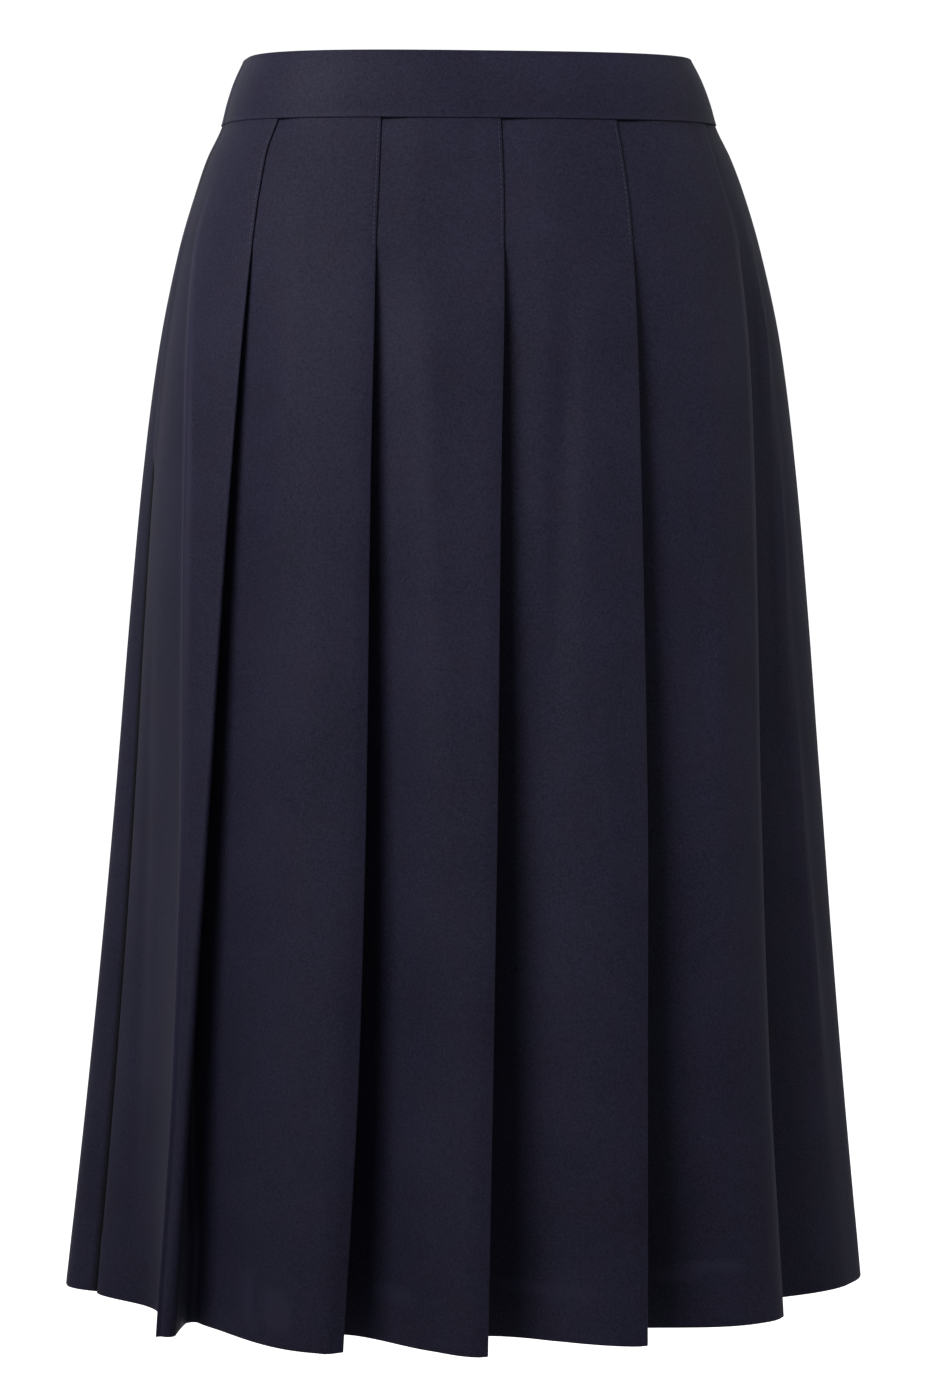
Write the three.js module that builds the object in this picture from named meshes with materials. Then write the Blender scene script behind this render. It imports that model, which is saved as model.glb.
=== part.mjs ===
// A knee-covering skirt in knife pleats, stitched flat over the hips, hung as it is worn.
// Millimetres, +Z up. The origin is the middle of the waistband, on the axis of the waist,
// the front faces -Y and the wearer's right side, with the opening, is at -X.
import * as THREE from 'three';

// Driving dimensions
const WAISTBAND_HEIGHT = 40;
const WAISTBAND_THICKNESS = 2.5;
const PANEL_LENGTH = 719;
const STITCHED_LENGTH = 75;
const CLOTH_THICKNESS = 1.2;
const LAYER_GAP = 0.8;
const SEAM_GAP = 0.3;

// The opening in the seam at -X: an underlap strip behind the slit, a lapped waistband end,
// and a flat hook and bar between the two ends of the band
const OPENING_LENGTH = 214;
const STRIP_REACH = 14;
const STRIP_CLEARANCE = 0.4;
const LAP_LENGTH = 34;
const LAP_CLEARANCE = 2.8;
const LAP_STEP_LENGTH = 5;

// How far the side seams lie forward of the true side, at the waist and at the hem
const SEAM_FORWARD_WAIST = 6;
const SEAM_FORWARD_HEM = 11;
const SEAM_DIP = 17;
const SIDE_CORNER_REACH = 22;

// How much higher the hem hangs at the side seams than at the middle of each panel
const HEM_RISE = 4.5;

// Growth of the pleats from the end of the stitching to the hem
const OPENING_POWER = 0.75;
const SAG_POWER = 1.5;

// Horizontal sections of the cloth: drop below the waistband seam, half sizes of a
// superellipse, its power, where 2 is an ellipse and more is squarer, and how far its
// middle hangs towards +X
const SECTIONS = [
  { drop: -WAISTBAND_HEIGHT, halfWidth: 134, halfDepth: 88, power: 3, centre: 0 },
  { drop: -27, halfWidth: 140.3, halfDepth: 91.6, power: 2.97, centre: 0.4 },
  { drop: -13, halfWidth: 145.4, halfDepth: 94, power: 2.94, centre: 0.8 },
  { drop: 0, halfWidth: 149.3, halfDepth: 95.6, power: 2.9, centre: 1.1 },
  { drop: 20, halfWidth: 159, halfDepth: 102, power: 2.8, centre: 1.3 },
  { drop: 40, halfWidth: 166.5, halfDepth: 107, power: 2.7, centre: 1.8 },
  { drop: STITCHED_LENGTH, halfWidth: 177.5, halfDepth: 114.5, power: 2.5, centre: 2.2 },
  { drop: 135, halfWidth: 190.6, halfDepth: 124.2, power: 2.38, centre: 2.7 },
  { drop: 210, halfWidth: 201, halfDepth: 132.5, power: 2.25, centre: 2.7 },
  { drop: 300, halfWidth: 210, halfDepth: 139, power: 2.17, centre: 2.7 },
  { drop: 400, halfWidth: 218.7, halfDepth: 145.5, power: 2.1, centre: 2.6 },
  { drop: 500, halfWidth: 227.4, halfDepth: 152, power: 2.1, centre: 1.9 },
  { drop: 600, halfWidth: 237, halfDepth: 159, power: 2.1, centre: 1 },
  { drop: PANEL_LENGTH, halfWidth: 249.5, halfDepth: 168, power: 2.1, centre: 0 },
];

// Drops at which the rows below give a fold's place across the cloth, measured along the
// section from the middle of the panel, positive the way that every pleat is laid
const STATIONS = [0, 20, STITCHED_LENGTH, 210, 400, 560, PANEL_LENGTH];

// One row for each pleat: its pressed edge, how far that stands out at the hem, how deep
// the pleat opens there, the cloth turned under, and the bow of the panel that follows it
const FRONT_PLEATS = [
  { across: [-129.5, -138, -149.5, -165, -181, -193, -204], stand: 6, open: 38, under: 35, bow: 11 },
  { across: [-66.5, -68.5, -73.5, -79.5, -84, -89, -98.5], stand: 4, open: 38, under: 46, bow: -5 },
  { across: [4.2, 3.8, 1.8, -4, -8.5, -12, -15.7], stand: 14, open: 44, under: 46, bow: -6 },
  { across: [74.5, 76.7, 80.2, 80.6, 81.4, 80.1, 78.9], stand: 12, open: 46, under: 46, bow: 9 },
  { across: [142.8, 146.5, 161.5, 167.2, 169.3, 174, 183.6], stand: -1, open: 41, under: 40, bow: 5 },
];
const BACK_PLEATS = [
  { across: [-137, -142, -153, -160, -168, -178, -194], stand: 5, open: 36, under: 38, bow: 6 },
  { across: [-67, -69, -73.5, -77, -82, -90, -103], stand: 9, open: 40, under: 46, bow: -3 },
  { across: [3, 2.5, 1.5, -2, -4, -6, -9], stand: 11, open: 42, under: 46, bow: 5 },
  { across: [73, 75.5, 80, 81.5, 84, 87, 90], stand: 8, open: 43, under: 46, bow: -2 },
  { across: [143, 147.5, 160, 166, 171, 175, 181], stand: 4, open: 39, under: 42, bow: 8 },
];

// The soft ridge beside each panel's first seam and the trough between seam and ridge
const FRONT_RIDGE = { across: [-170, -178, -199, -197, -198, -202, -212], stand: 6, sag: -34 };
const BACK_RIDGE = { across: [-170, -177, -192, -194, -201, -212, -228], stand: 3, sag: -9 };

// Drops of the rings of points down each panel
const RING_DROPS = [0, 12, 30, 52, STITCHED_LENGTH, 105, 145, 210, 290, 380, 470, 560, 640, PANEL_LENGTH];
const RAIL_SAMPLES = 720;

// Steps across each stretch of a panel. From one pleat to the next there are three: the
// cloth under the pleat, its rise over the next inner fold, and the face that shows
const TROUGH_STEPS = 6;
const RIDGE_STEPS = 5;
const RETURN_STEPS = 3;
const FACE_STEPS = [2, 3, 3];
const HANGING_BREAKS = [0, 0.25, 0.6, 1];

// A return is never laid more than this share of its length straight inwards, and a panel
// never rises later or faster than these shares of its width
const STEEPEST_RETURN = 0.98;
const LATEST_RISE = 0.8;
const QUICKEST_RISE = 0.08;

// Longest mitre at a bend, as a share of the wall's thickness, is one over this
const MITRE_LIMIT = 0.6;

const CLOTH_COLOUR = 0x1a2036;
const BAND_COLOUR = 0x191f34;
const METAL_COLOUR = 0x8d9098;

const SEAM_HEIGHT = -WAISTBAND_HEIGHT / 2;
const LAYER_STEP = CLOTH_THICKNESS + LAYER_GAP;

function mix(from, to, share) {
  return from + (to - from) * share;
}

function smoothStep(low, high, value) {
  const share = Math.min(1, Math.max(0, (value - low) / (high - low)));
  return share * share * (3 - 2 * share);
}

// Smooth curve through a column of values, with no overshoot between them
function throughValues(places, values, place) {
  const last = places.length - 1;
  const slopes = places.slice(1).map((end, i) => (values[i + 1] - values[i]) / (end - places[i]));
  const tangent = (i) => {
    if (i === 0) return slopes[0];
    if (i === last) return slopes[last - 1];
    const product = slopes[i - 1] * slopes[i];
    return product <= 0 ? 0 : (2 * product) / (slopes[i - 1] + slopes[i]);
  };
  const inside = Math.min(places[last], Math.max(places[0], place));
  let i = 0;
  while (i < last - 1 && inside > places[i + 1]) i += 1;
  const width = places[i + 1] - places[i];
  const t = (inside - places[i]) / width;
  const near = (1 + 2 * t) * (1 - t) ** 2 * values[i] + t ** 2 * (3 - 2 * t) * values[i + 1];
  return near + width * (t * (1 - t) ** 2 * tangent(i) - t ** 2 * (1 - t) * tangent(i + 1));
}

function sectionValue(column, drop) {
  return throughValues(SECTIONS.map((row) => row.drop), SECTIONS.map((row) => row[column]), drop);
}

// One section as a closed run of points with the distance along it, zero at the middle of
// the front and growing towards +X
function makeRail(drop) {
  const halfWidth = sectionValue('halfWidth', drop);
  const halfDepth = sectionValue('halfDepth', drop);
  const power = sectionValue('power', drop);
  const points = [];
  for (let i = 0; i <= RAIL_SAMPLES; i += 1) {
    const turn = -Math.PI + (2 * Math.PI * i) / RAIL_SAMPLES;
    const across = Math.abs(Math.sin(turn) / halfWidth) ** power;
    const deep = Math.abs(Math.cos(turn) / halfDepth) ** power;
    const radius = (across + deep) ** (-1 / power);
    points.push(new THREE.Vector2(radius * Math.sin(turn), -radius * Math.cos(turn)));
  }
  const along = [0];
  for (let i = 1; i <= RAIL_SAMPLES; i += 1) {
    along.push(along[i - 1] + points[i].distanceTo(points[i - 1]));
  }
  const round = along[RAIL_SAMPLES];
  const centre = new THREE.Vector2(sectionValue('centre', drop), 0);
  return { points, along: along.map((length) => length - round / 2), round, centre };
}

// A point on the section, moved out by `lift` square to the section
function railPoint(rail, place, lift) {
  const start = -rail.round / 2;
  const wrapped = start + ((((place - start) % rail.round) + rail.round) % rail.round);
  let low = 0;
  let high = RAIL_SAMPLES;
  while (high - low > 1) {
    const middle = Math.floor((low + high) / 2);
    if (rail.along[middle] <= wrapped) low = middle;
    else high = middle;
  }
  const share = (wrapped - rail.along[low]) / (rail.along[high] - rail.along[low]);
  const point = rail.points[low].clone().lerp(rail.points[high], share);
  const before = rail.points[(low + RAIL_SAMPLES - 1) % RAIL_SAMPLES];
  const after = rail.points[(high + 1) % RAIL_SAMPLES];
  const startWay = rail.points[high].clone().sub(before).normalize();
  const endWay = after.clone().sub(rail.points[low]).normalize();
  const way = startWay.lerp(endWay, share).normalize();
  return point.add(new THREE.Vector2(way.y, -way.x).multiplyScalar(lift));
}

function growth(drop, power) {
  const share = Math.max(0, (drop - STITCHED_LENGTH) / (PANEL_LENGTH - STITCHED_LENGTH));
  return share ** power;
}

// Place and lift of a pleat's pressed edge and of its inner fold at one drop
function pleatAt(pleat, drop) {
  const opened = growth(drop, OPENING_POWER);
  const edge = throughValues(STATIONS, pleat.across, drop);
  const edgeLift = pleat.stand * opened;
  const spread = mix(2 * LAYER_STEP, pleat.open, opened);
  const slope = Math.min(spread - 2 * LAYER_STEP, STEEPEST_RETURN * pleat.under);
  const fold = edge - Math.sqrt(pleat.under ** 2 - slope ** 2);
  return { edge, edgeLift, fold, foldLift: edgeLift - spread, looseness: slope / pleat.under };
}

function seamPlace(rail, drop) {
  const forward = mix(SEAM_FORWARD_WAIST, SEAM_FORWARD_HEM, Math.max(0, drop) / PANEL_LENGTH);
  return rail.round / 4 - forward;
}

// Lift of the cloth between the side seam and the ridge: a straight run with a trough
function troughLift(trough, place) {
  const share = (place - trough.start) / (trough.end - trough.start);
  return mix(trough.startLift, trough.endLift, share) + trough.sag * 4 * share * (1 - share);
}

// Lift of the cloth from one pleat's inner fold to the next edge: flat under the pleat,
// up over the next inner fold, and bowed where the pleats hang open
function panelLift(span, share) {
  const rise = smoothStep(span.riseStart, span.riseEnd, share);
  return mix(span.startLift, span.endLift, rise) + span.bow * 4 * share * (1 - share);
}

function panelSpan(from, to, bow) {
  const length = to.place - from.fold;
  const closedStart = Math.min(LATEST_RISE, (from.edge + LAYER_GAP - from.fold) / length);
  const closedEnd = Math.max(closedStart + QUICKEST_RISE, (to.risen - from.fold) / length);
  return {
    start: from.fold,
    end: to.place,
    startLift: from.foldLift,
    endLift: to.lift,
    riseStart: mix(closedStart, 0, from.looseness),
    riseEnd: mix(closedEnd, 1, from.looseness),
    bow,
  };
}

function spanPoints(span) {
  const points = [];
  const breaks = [0, span.riseStart, span.riseEnd, 1];
  const loose = span.riseEnd - span.riseStart;
  FACE_STEPS.forEach((count, part) => {
    const from = mix(breaks[part], HANGING_BREAKS[part], loose);
    const to = mix(breaks[part + 1], HANGING_BREAKS[part + 1], loose);
    for (let i = 1; i <= count; i += 1) {
      const share = mix(from, to, i / count);
      points.push([mix(span.start, span.end, share), panelLift(span, share)]);
    }
  });
  return points;
}

// A panel's middle line at one drop, as [place, lift] pairs from its first side seam to
// its last: seam, trough, ridge, then each pleat's edge, return and inner fold, and on
function panelLine(piece, drop, rail) {
  const opened = growth(drop, OPENING_POWER);
  const pleats = piece.pleats.map((row) => pleatAt(row, drop));
  const line = [];
  const trough = {
    start: piece.firstSeam(rail, drop) + SEAM_GAP / 2,
    startLift: piece.firstDip * opened,
    end: throughValues(STATIONS, piece.ridge.across, drop),
    endLift: piece.ridge.stand * opened,
    sag: piece.ridge.sag * growth(drop, SAG_POWER),
  };
  for (let i = 0; i <= TROUGH_STEPS; i += 1) {
    const place = mix(trough.start, trough.end, i / TROUGH_STEPS);
    line.push([place, troughLift(trough, place)]);
  }
  for (let i = 1; i < RIDGE_STEPS; i += 1) {
    const share = i / RIDGE_STEPS;
    const place = mix(trough.end, pleats[0].edge - LAYER_STEP / 2, share);
    line.push([place, mix(trough.endLift, pleats[0].edgeLift, share)]);
  }
  const lastSeam = piece.lastSeam(rail, drop) - SEAM_GAP / 2;
  const corner = lastSeam - SIDE_CORNER_REACH;
  pleats.forEach((pleat, i) => {
    const tip = (LAYER_STEP / 2) * (1 - pleat.looseness);
    const half = LAYER_STEP / 2;
    line.push([pleat.edge - half, pleat.edgeLift]);
    line.push([pleat.edge - half + tip, pleat.edgeLift - half]);
    line.push([pleat.edge - half, pleat.edgeLift - LAYER_STEP]);
    for (let i = 1; i < RETURN_STEPS; i += 1) {
      const share = i / RETURN_STEPS;
      const lift = mix(pleat.edgeLift - LAYER_STEP, pleat.foldLift + LAYER_STEP, share);
      line.push([mix(pleat.edge - half, pleat.fold, share), lift]);
    }
    line.push([pleat.fold, pleat.foldLift + LAYER_STEP]);
    line.push([pleat.fold - tip, pleat.foldLift + half]);
    line.push([pleat.fold, pleat.foldLift]);
    const next = pleats[i + 1];
    const target = next
      ? { place: next.edge - half, lift: next.edgeLift, risen: next.fold - 2 * half }
      : { place: corner, lift: 0, risen: corner };
    const span = panelSpan(pleat, target, piece.pleats[i].bow * opened);
    spanPoints(span).slice(0, next ? -1 : undefined).forEach((point) => line.push(point));
  });
  line.push([mix(corner, lastSeam, 0.5), (piece.lastDip * opened) / 2]);
  line.push([lastSeam, piece.lastDip * opened]);
  return line;
}

const FRONT = {
  pleats: FRONT_PLEATS,
  ridge: FRONT_RIDGE,
  firstSeam: (rail, drop) => -seamPlace(rail, drop),
  lastSeam: (rail, drop) => seamPlace(rail, drop),
  firstDip: -SEAM_DIP,
  lastDip: 0,
  turned: false,
};
const BACK = {
  pleats: BACK_PLEATS,
  ridge: BACK_RIDGE,
  firstSeam: (rail, drop) => seamPlace(rail, drop) - rail.round / 2,
  lastSeam: (rail, drop) => rail.round / 2 - seamPlace(rail, drop),
  firstDip: 0,
  lastDip: -SEAM_DIP,
  turned: true,
};

// Plan points of a line of [place, lift] pairs, the back's turned half round the axis
function planPoints(rail, line, turned) {
  const sign = turned ? -1 : 1;
  return line.map(([place, lift]) => {
    return railPoint(rail, place, lift).multiplyScalar(sign).add(rail.centre);
  });
}

// Heights of a line's points: the cloth is cut so that its hem rises towards the seams
function lineHeights(rail, drop, line) {
  const shortened = (HEM_RISE * Math.max(0, drop)) / PANEL_LENGTH;
  return line.map(([place]) => {
    return SEAM_HEIGHT - drop + shortened * ((4 * place) / rail.round) ** 2;
  });
}

// The two faces of a wall about its middle line, square to it and mitred at each bend
function wallFaces(points, thickness) {
  const outer = [];
  const inner = [];
  points.forEach((point, i) => {
    const before = points[Math.max(0, i - 1)];
    const after = points[Math.min(points.length - 1, i + 1)];
    const arrive = (i === 0 ? after.clone().sub(point) : point.clone().sub(before)).normalize();
    const leave = (i === points.length - 1 ? arrive.clone() : after.clone().sub(point)).normalize();
    const way = arrive.clone().add(leave).normalize();
    const mitre = 1 / Math.max(MITRE_LIMIT, way.dot(arrive));
    const out = new THREE.Vector2(way.y, -way.x).multiplyScalar((thickness / 2) * mitre);
    outer.push(point.clone().add(out));
    inner.push(point.clone().sub(out));
  });
  return { outer, inner };
}

// A closed solid through rings of equal count: each ring is a wall's outer face, then its
// inner face back again, and the first and last rings are closed by strips across the wall
function wallSolid(rings) {
  const positions = [];
  rings.forEach(({ outer, inner, heights }) => {
    outer.forEach((point, i) => positions.push(point.x, point.y, heights[i]));
    inner.forEach((point, i) => positions.push(point.x, point.y, heights[i]));
  });
  const count = rings[0].outer.length;
  const stride = 2 * count;
  const loop = [];
  for (let i = 0; i < count; i += 1) loop.push(i);
  for (let i = count - 1; i >= 0; i -= 1) loop.push(count + i);
  const index = [];
  for (let ring = 0; ring < rings.length - 1; ring += 1) {
    const top = ring * stride;
    const bottom = top + stride;
    loop.forEach((here, i) => {
      const next = loop[(i + 1) % stride];
      index.push(top + here, bottom + here, bottom + next);
      index.push(top + here, bottom + next, top + next);
    });
  }
  const lastRing = (rings.length - 1) * stride;
  for (let i = 0; i < count - 1; i += 1) {
    index.push(i, i + 1, count + i + 1, i, count + i + 1, count + i);
    const base = lastRing + i;
    index.push(base, base + count + 1, base + 1, base, base + count, base + count + 1);
  }
  const geometry = new THREE.BufferGeometry();
  geometry.setAttribute('position', new THREE.Float32BufferAttribute(positions, 3));
  geometry.setIndex(index);
  geometry.computeVertexNormals();
  return geometry;
}

function clothMaterial(color) {
  return new THREE.MeshStandardMaterial({ color, roughness: 0.8, metalness: 0 });
}

function namedMesh(name, geometry, material) {
  const mesh = new THREE.Mesh(geometry, material);
  mesh.name = name;
  return mesh;
}

function panelMesh(name, piece) {
  const rings = RING_DROPS.map((drop) => {
    const rail = makeRail(drop);
    const line = panelLine(piece, drop, rail);
    const points = planPoints(rail, line, piece.turned);
    const heights = lineHeights(rail, Math.max(drop, SEAM_GAP), line);
    return { ...wallFaces(points, CLOTH_THICKNESS), heights };
  });
  return namedMesh(name, wallSolid(rings), clothMaterial(CLOTH_COLOUR));
}

// Strip sewn behind the slit, made from both panels' points on either side of the seam
function openingStrip() {
  const drops = RING_DROPS.filter((drop) => drop < OPENING_LENGTH).concat(OPENING_LENGTH);
  const inward = -(CLOTH_THICKNESS + STRIP_CLEARANCE);
  const steps = 3;
  const rings = drops.map((drop) => {
    const rail = makeRail(drop);
    const opened = growth(drop, OPENING_POWER);
    const seam = -seamPlace(rail, drop);
    const dip = -SEAM_DIP * opened;
    const trough = {
      start: seam,
      startLift: dip,
      end: throughValues(STATIONS, FRONT_RIDGE.across, drop),
      endLift: FRONT_RIDGE.stand * opened,
      sag: FRONT_RIDGE.sag * growth(drop, SAG_POWER),
    };
    const line = [];
    for (let i = -steps; i <= steps; i += 1) {
      const away = (STRIP_REACH * i) / steps;
      const lift = i < 0 ? mix(dip, 0, -away / SIDE_CORNER_REACH) : troughLift(trough, seam + away);
      line.push([seam + away, lift + inward]);
    }
    const points = planPoints(rail, line, false);
    const heights = lineHeights(rail, Math.max(drop, SEAM_GAP), line);
    return { ...wallFaces(points, CLOTH_THICKNESS), heights };
  });
  return namedMesh('opening_strip', wallSolid(rings), clothMaterial(CLOTH_COLOUR));
}

// The band starts at the slit, goes round the front and the back, steps in behind its own
// start and runs on under it
function waistbandLine(rail, drop) {
  const seam = -seamPlace(rail, drop);
  const lapLift = -(WAISTBAND_THICKNESS + LAP_CLEARANCE);
  const stepEnd = seam + rail.round - SEAM_GAP;
  const stepStart = stepEnd - LAP_STEP_LENGTH;
  const roundSteps = 72;
  const line = [];
  for (let i = 0; i <= roundSteps; i += 1) {
    line.push([mix(seam, stepStart, i / roundSteps), 0]);
  }
  const stepSteps = 4;
  for (let i = 1; i <= stepSteps; i += 1) {
    const share = i / stepSteps;
    line.push([mix(stepStart, stepEnd, share), lapLift * smoothStep(0, 1, share)]);
  }
  const lapSteps = 4;
  for (let i = 1; i <= lapSteps; i += 1) {
    line.push([stepEnd + (LAP_LENGTH * i) / lapSteps, lapLift]);
  }
  return line;
}

function waistband() {
  const drops = SECTIONS.map((row) => row.drop).filter((drop) => drop <= 0);
  const rings = drops.map((drop) => {
    const rail = makeRail(drop);
    const line = waistbandLine(rail, drop);
    const points = planPoints(rail, line, false);
    const heights = lineHeights(rail, drop, line);
    return { ...wallFaces(points, WAISTBAND_THICKNESS), heights };
  });
  return namedMesh('waistband', wallSolid(rings), clothMaterial(BAND_COLOUR));
}

// Flat hook and bar: the hook's plate lies behind the band's outer end, its tongue is
// turned back through the bar, and the bar's feet rest on the inner end
const HOOK_HEIGHT = 8;
const HOOK_LENGTH = 10;
const TONGUE_LENGTH = 6;
const METAL_THICKNESS = 0.4;
const FASTENER_SEAT_GAP = 0.4;
const BAR_HEIGHT = 13;
const BAR_WIDTH = 2;
const BAR_CLEARANCE = 0.3;
const FASTENER_REACH = 14;
const FASTENER_DROP = -WAISTBAND_HEIGHT / 2;
const SLOPE_SPAN = 5;

function extrudedOutline(corners, depth) {
  const outline = new THREE.Shape(corners.map(([x, y]) => new THREE.Vector2(x, y)));
  const geometry = new THREE.ExtrudeGeometry(outline, { depth, bevelEnabled: false });
  geometry.translate(0, 0, -depth / 2);
  return geometry;
}

// The band's side where the fastener sits: its middle, the way along it to the back, the
// way out and the way up its slope, and the slope's cosine, which thins a level measure
function fastenerSeat() {
  const pointAt = (drop, lift) => {
    const rail = makeRail(drop);
    return planPoints(rail, [[FASTENER_REACH - seamPlace(rail, drop), lift]], false)[0];
  };
  const middle = pointAt(FASTENER_DROP, 0);
  const out = pointAt(FASTENER_DROP, 1).sub(middle);
  const above = pointAt(FASTENER_DROP - SLOPE_SPAN, 0);
  const below = pointAt(FASTENER_DROP + SLOPE_SPAN, 0);
  const rise = new THREE.Vector3(above.x - below.x, above.y - below.y, 2 * SLOPE_SPAN).normalize();
  const level = new THREE.Vector3(out.x, out.y, 0);
  const along = new THREE.Vector3().crossVectors(level, rise).normalize();
  const outward = new THREE.Vector3().crossVectors(rise, along).normalize();
  const frame = new THREE.Matrix4().makeBasis(along, outward, rise);
  const origin = new THREE.Vector3(middle.x, middle.y, SEAM_HEIGHT - FASTENER_DROP);
  return { frame, origin, lean: outward.dot(level) };
}

const SEAT = fastenerSeat();
const OUTER_END_BACK = (-WAISTBAND_THICKNESS / 2) * SEAT.lean - FASTENER_SEAT_GAP;
const INNER_END_FACE = (-WAISTBAND_THICKNESS / 2 - LAP_CLEARANCE) * SEAT.lean + FASTENER_SEAT_GAP;
const METAL = new THREE.MeshStandardMaterial({ color: METAL_COLOUR, roughness: 0.35, metalness: 1 });

// Sets a fastener piece, drawn with x along the band and y outwards, on the band's side
function seatOnBand(mesh) {
  mesh.quaternion.setFromRotationMatrix(SEAT.frame);
  mesh.position.copy(SEAT.origin);
  return mesh;
}

function hook() {
  const plateBack = OUTER_END_BACK - METAL_THICKNESS;
  const tongueFace = INNER_END_FACE + METAL_THICKNESS;
  const bend = HOOK_LENGTH / 2;
  const free = -HOOK_LENGTH / 2;
  const corners = [
    [bend, OUTER_END_BACK], [free, OUTER_END_BACK], [free, plateBack],
    [bend - METAL_THICKNESS, plateBack], [bend - METAL_THICKNESS, tongueFace],
    [bend - TONGUE_LENGTH, tongueFace], [bend - TONGUE_LENGTH, INNER_END_FACE],
    [bend, INNER_END_FACE],
  ];
  return seatOnBand(namedMesh('waist_hook', extrudedOutline(corners, HOOK_HEIGHT), METAL));
}

function bar() {
  const strapBack = INNER_END_FACE + METAL_THICKNESS + BAR_CLEARANCE;
  const strapFace = strapBack + METAL_THICKNESS;
  const end = BAR_HEIGHT / 2;
  const leg = end - METAL_THICKNESS;
  const corners = [
    [-end, INNER_END_FACE], [-leg, INNER_END_FACE], [-leg, strapBack], [leg, strapBack],
    [leg, INNER_END_FACE], [end, INNER_END_FACE], [end, strapFace], [-end, strapFace],
  ];
  const geometry = extrudedOutline(corners, BAR_WIDTH);
  geometry.rotateY(Math.PI / 2);
  geometry.translate(HOOK_LENGTH / 2 - METAL_THICKNESS - BAR_CLEARANCE - BAR_WIDTH / 2, 0, 0);
  return seatOnBand(namedMesh('waist_bar', geometry, METAL));
}

const group = new THREE.Group();
group.add(panelMesh('front_panel', FRONT));
group.add(panelMesh('back_panel', BACK));
group.add(waistband());
group.add(openingStrip());
group.add(hook());
group.add(bar());

export default group;
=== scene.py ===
# %% [markdown]
# # A midi skirt in knife pleats
# The skirt is navy suiting, hung as it is worn: a plain waistband, five pleats in the front
# and five in the back, each stitched flat over the hips and pressed from there to the hem.
# The imported solids give every main size. This lesson dresses them: it works out a finer
# sheet of cloth for each panel, sews it, and gives it a weave, a camera and light. It could
# be draped by a cloth simulation instead, but knife pleats are pressed in, not fallen in, so
# their folds are drawn where the iron put them. The first cell loads the solids and lists
# their names before anything is added.

# %% Load the frame
import math
from types import SimpleNamespace

import bpy
import numpy as np
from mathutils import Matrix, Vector


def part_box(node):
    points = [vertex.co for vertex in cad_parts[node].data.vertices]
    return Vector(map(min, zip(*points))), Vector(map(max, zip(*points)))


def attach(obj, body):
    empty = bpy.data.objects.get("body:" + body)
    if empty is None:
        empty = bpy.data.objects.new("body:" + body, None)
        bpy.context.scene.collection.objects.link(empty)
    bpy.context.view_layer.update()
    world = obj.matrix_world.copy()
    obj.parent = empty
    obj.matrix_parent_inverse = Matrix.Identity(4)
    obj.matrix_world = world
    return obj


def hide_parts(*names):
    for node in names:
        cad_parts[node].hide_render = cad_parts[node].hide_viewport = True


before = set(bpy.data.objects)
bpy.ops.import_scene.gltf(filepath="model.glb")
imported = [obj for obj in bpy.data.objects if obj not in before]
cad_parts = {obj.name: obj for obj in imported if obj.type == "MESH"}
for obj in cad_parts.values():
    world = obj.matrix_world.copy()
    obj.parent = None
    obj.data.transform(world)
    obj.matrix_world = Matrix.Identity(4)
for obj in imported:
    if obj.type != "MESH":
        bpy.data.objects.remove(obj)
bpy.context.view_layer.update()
print("solids:", ", ".join(sorted(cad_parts)))

# %% [markdown]
# ## Sizes
# All shapes are worked out in millimetres and turned to metres when a mesh is made. The
# height of the band, its seam and the hem are read from the solids, so cloth and solids agree.
# The rest is what a pattern cutter would write down: how thick the cloth is, how far a pleat
# is stitched, how far apart its layers lie, how far a panel is sewn into the band and how
# deep the hem is. A number that has a name here can be changed in one place.

# %% Main sizes
MM = 0.001
BAND_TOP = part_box("waistband")[1].z / MM
SEAM_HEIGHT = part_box("waistband")[0].z / MM
BAND_HEIGHT = BAND_TOP - SEAM_HEIGHT
PANEL_LENGTH = SEAM_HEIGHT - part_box("front_panel")[0].z / MM
STRIP_LENGTH = SEAM_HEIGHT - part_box("opening_strip")[0].z / MM
BAND_THICKNESS = 2.5
CLOTH_THICKNESS = 0.5
LAYER_STEP = 0.75
LAYER_GAP = LAYER_STEP - CLOTH_THICKNESS
FOLD_RADIUS = LAYER_STEP / 2
STITCHED_LENGTH = 75
SEAM_GAP = 0.05
SEWN_IN = 3
HEM_RISE = 4.5
HEM_DEPTH = 38
HEM_RADIUS = 0.35
HEM_FOLD_RADIUS = 1.0
print(f"band {BAND_HEIGHT:.1f} mm, panels {PANEL_LENGTH:.1f} mm, strip {STRIP_LENGTH:.1f} mm")

# %% [markdown]
# ## The body of the skirt
# Cut level at any height, the skirt is a rounded box at the waist that turns to an oval at the
# hem. It could be lofted between hand-drawn curves, but a superellipse makes both shapes
# from three numbers: its power is 2 for an oval and more for a squarer shape. A short table
# gives a section every few centimetres.

# %% Sections
# drop below the waistband seam, half width, half depth, power, shift of its middle to +X
SECTIONS = np.array([
    (-40, 134, 88, 3, 0),
    (-27, 140.3, 91.6, 2.97, 0.4),
    (-13, 145.4, 94, 2.94, 0.8),
    (0, 149.3, 95.6, 2.9, 1.1),
    (20, 159, 102, 2.8, 1.3),
    (40, 166.5, 107, 2.7, 1.8),
    (75, 177.5, 114.5, 2.5, 2.2),
    (135, 190.6, 124.2, 2.38, 2.7),
    (210, 201, 132.5, 2.25, 2.7),
    (300, 210, 139, 2.17, 2.7),
    (400, 218.7, 145.5, 2.1, 2.6),
    (500, 227.4, 152, 2.1, 1.9),
    (600, 237, 159, 2.1, 1),
    (719, 249.5, 168, 2.1, 0),
])
print("sections:", len(SECTIONS), "and the widest is", 2 * SECTIONS[:, 1].max(), "mm across")

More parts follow.
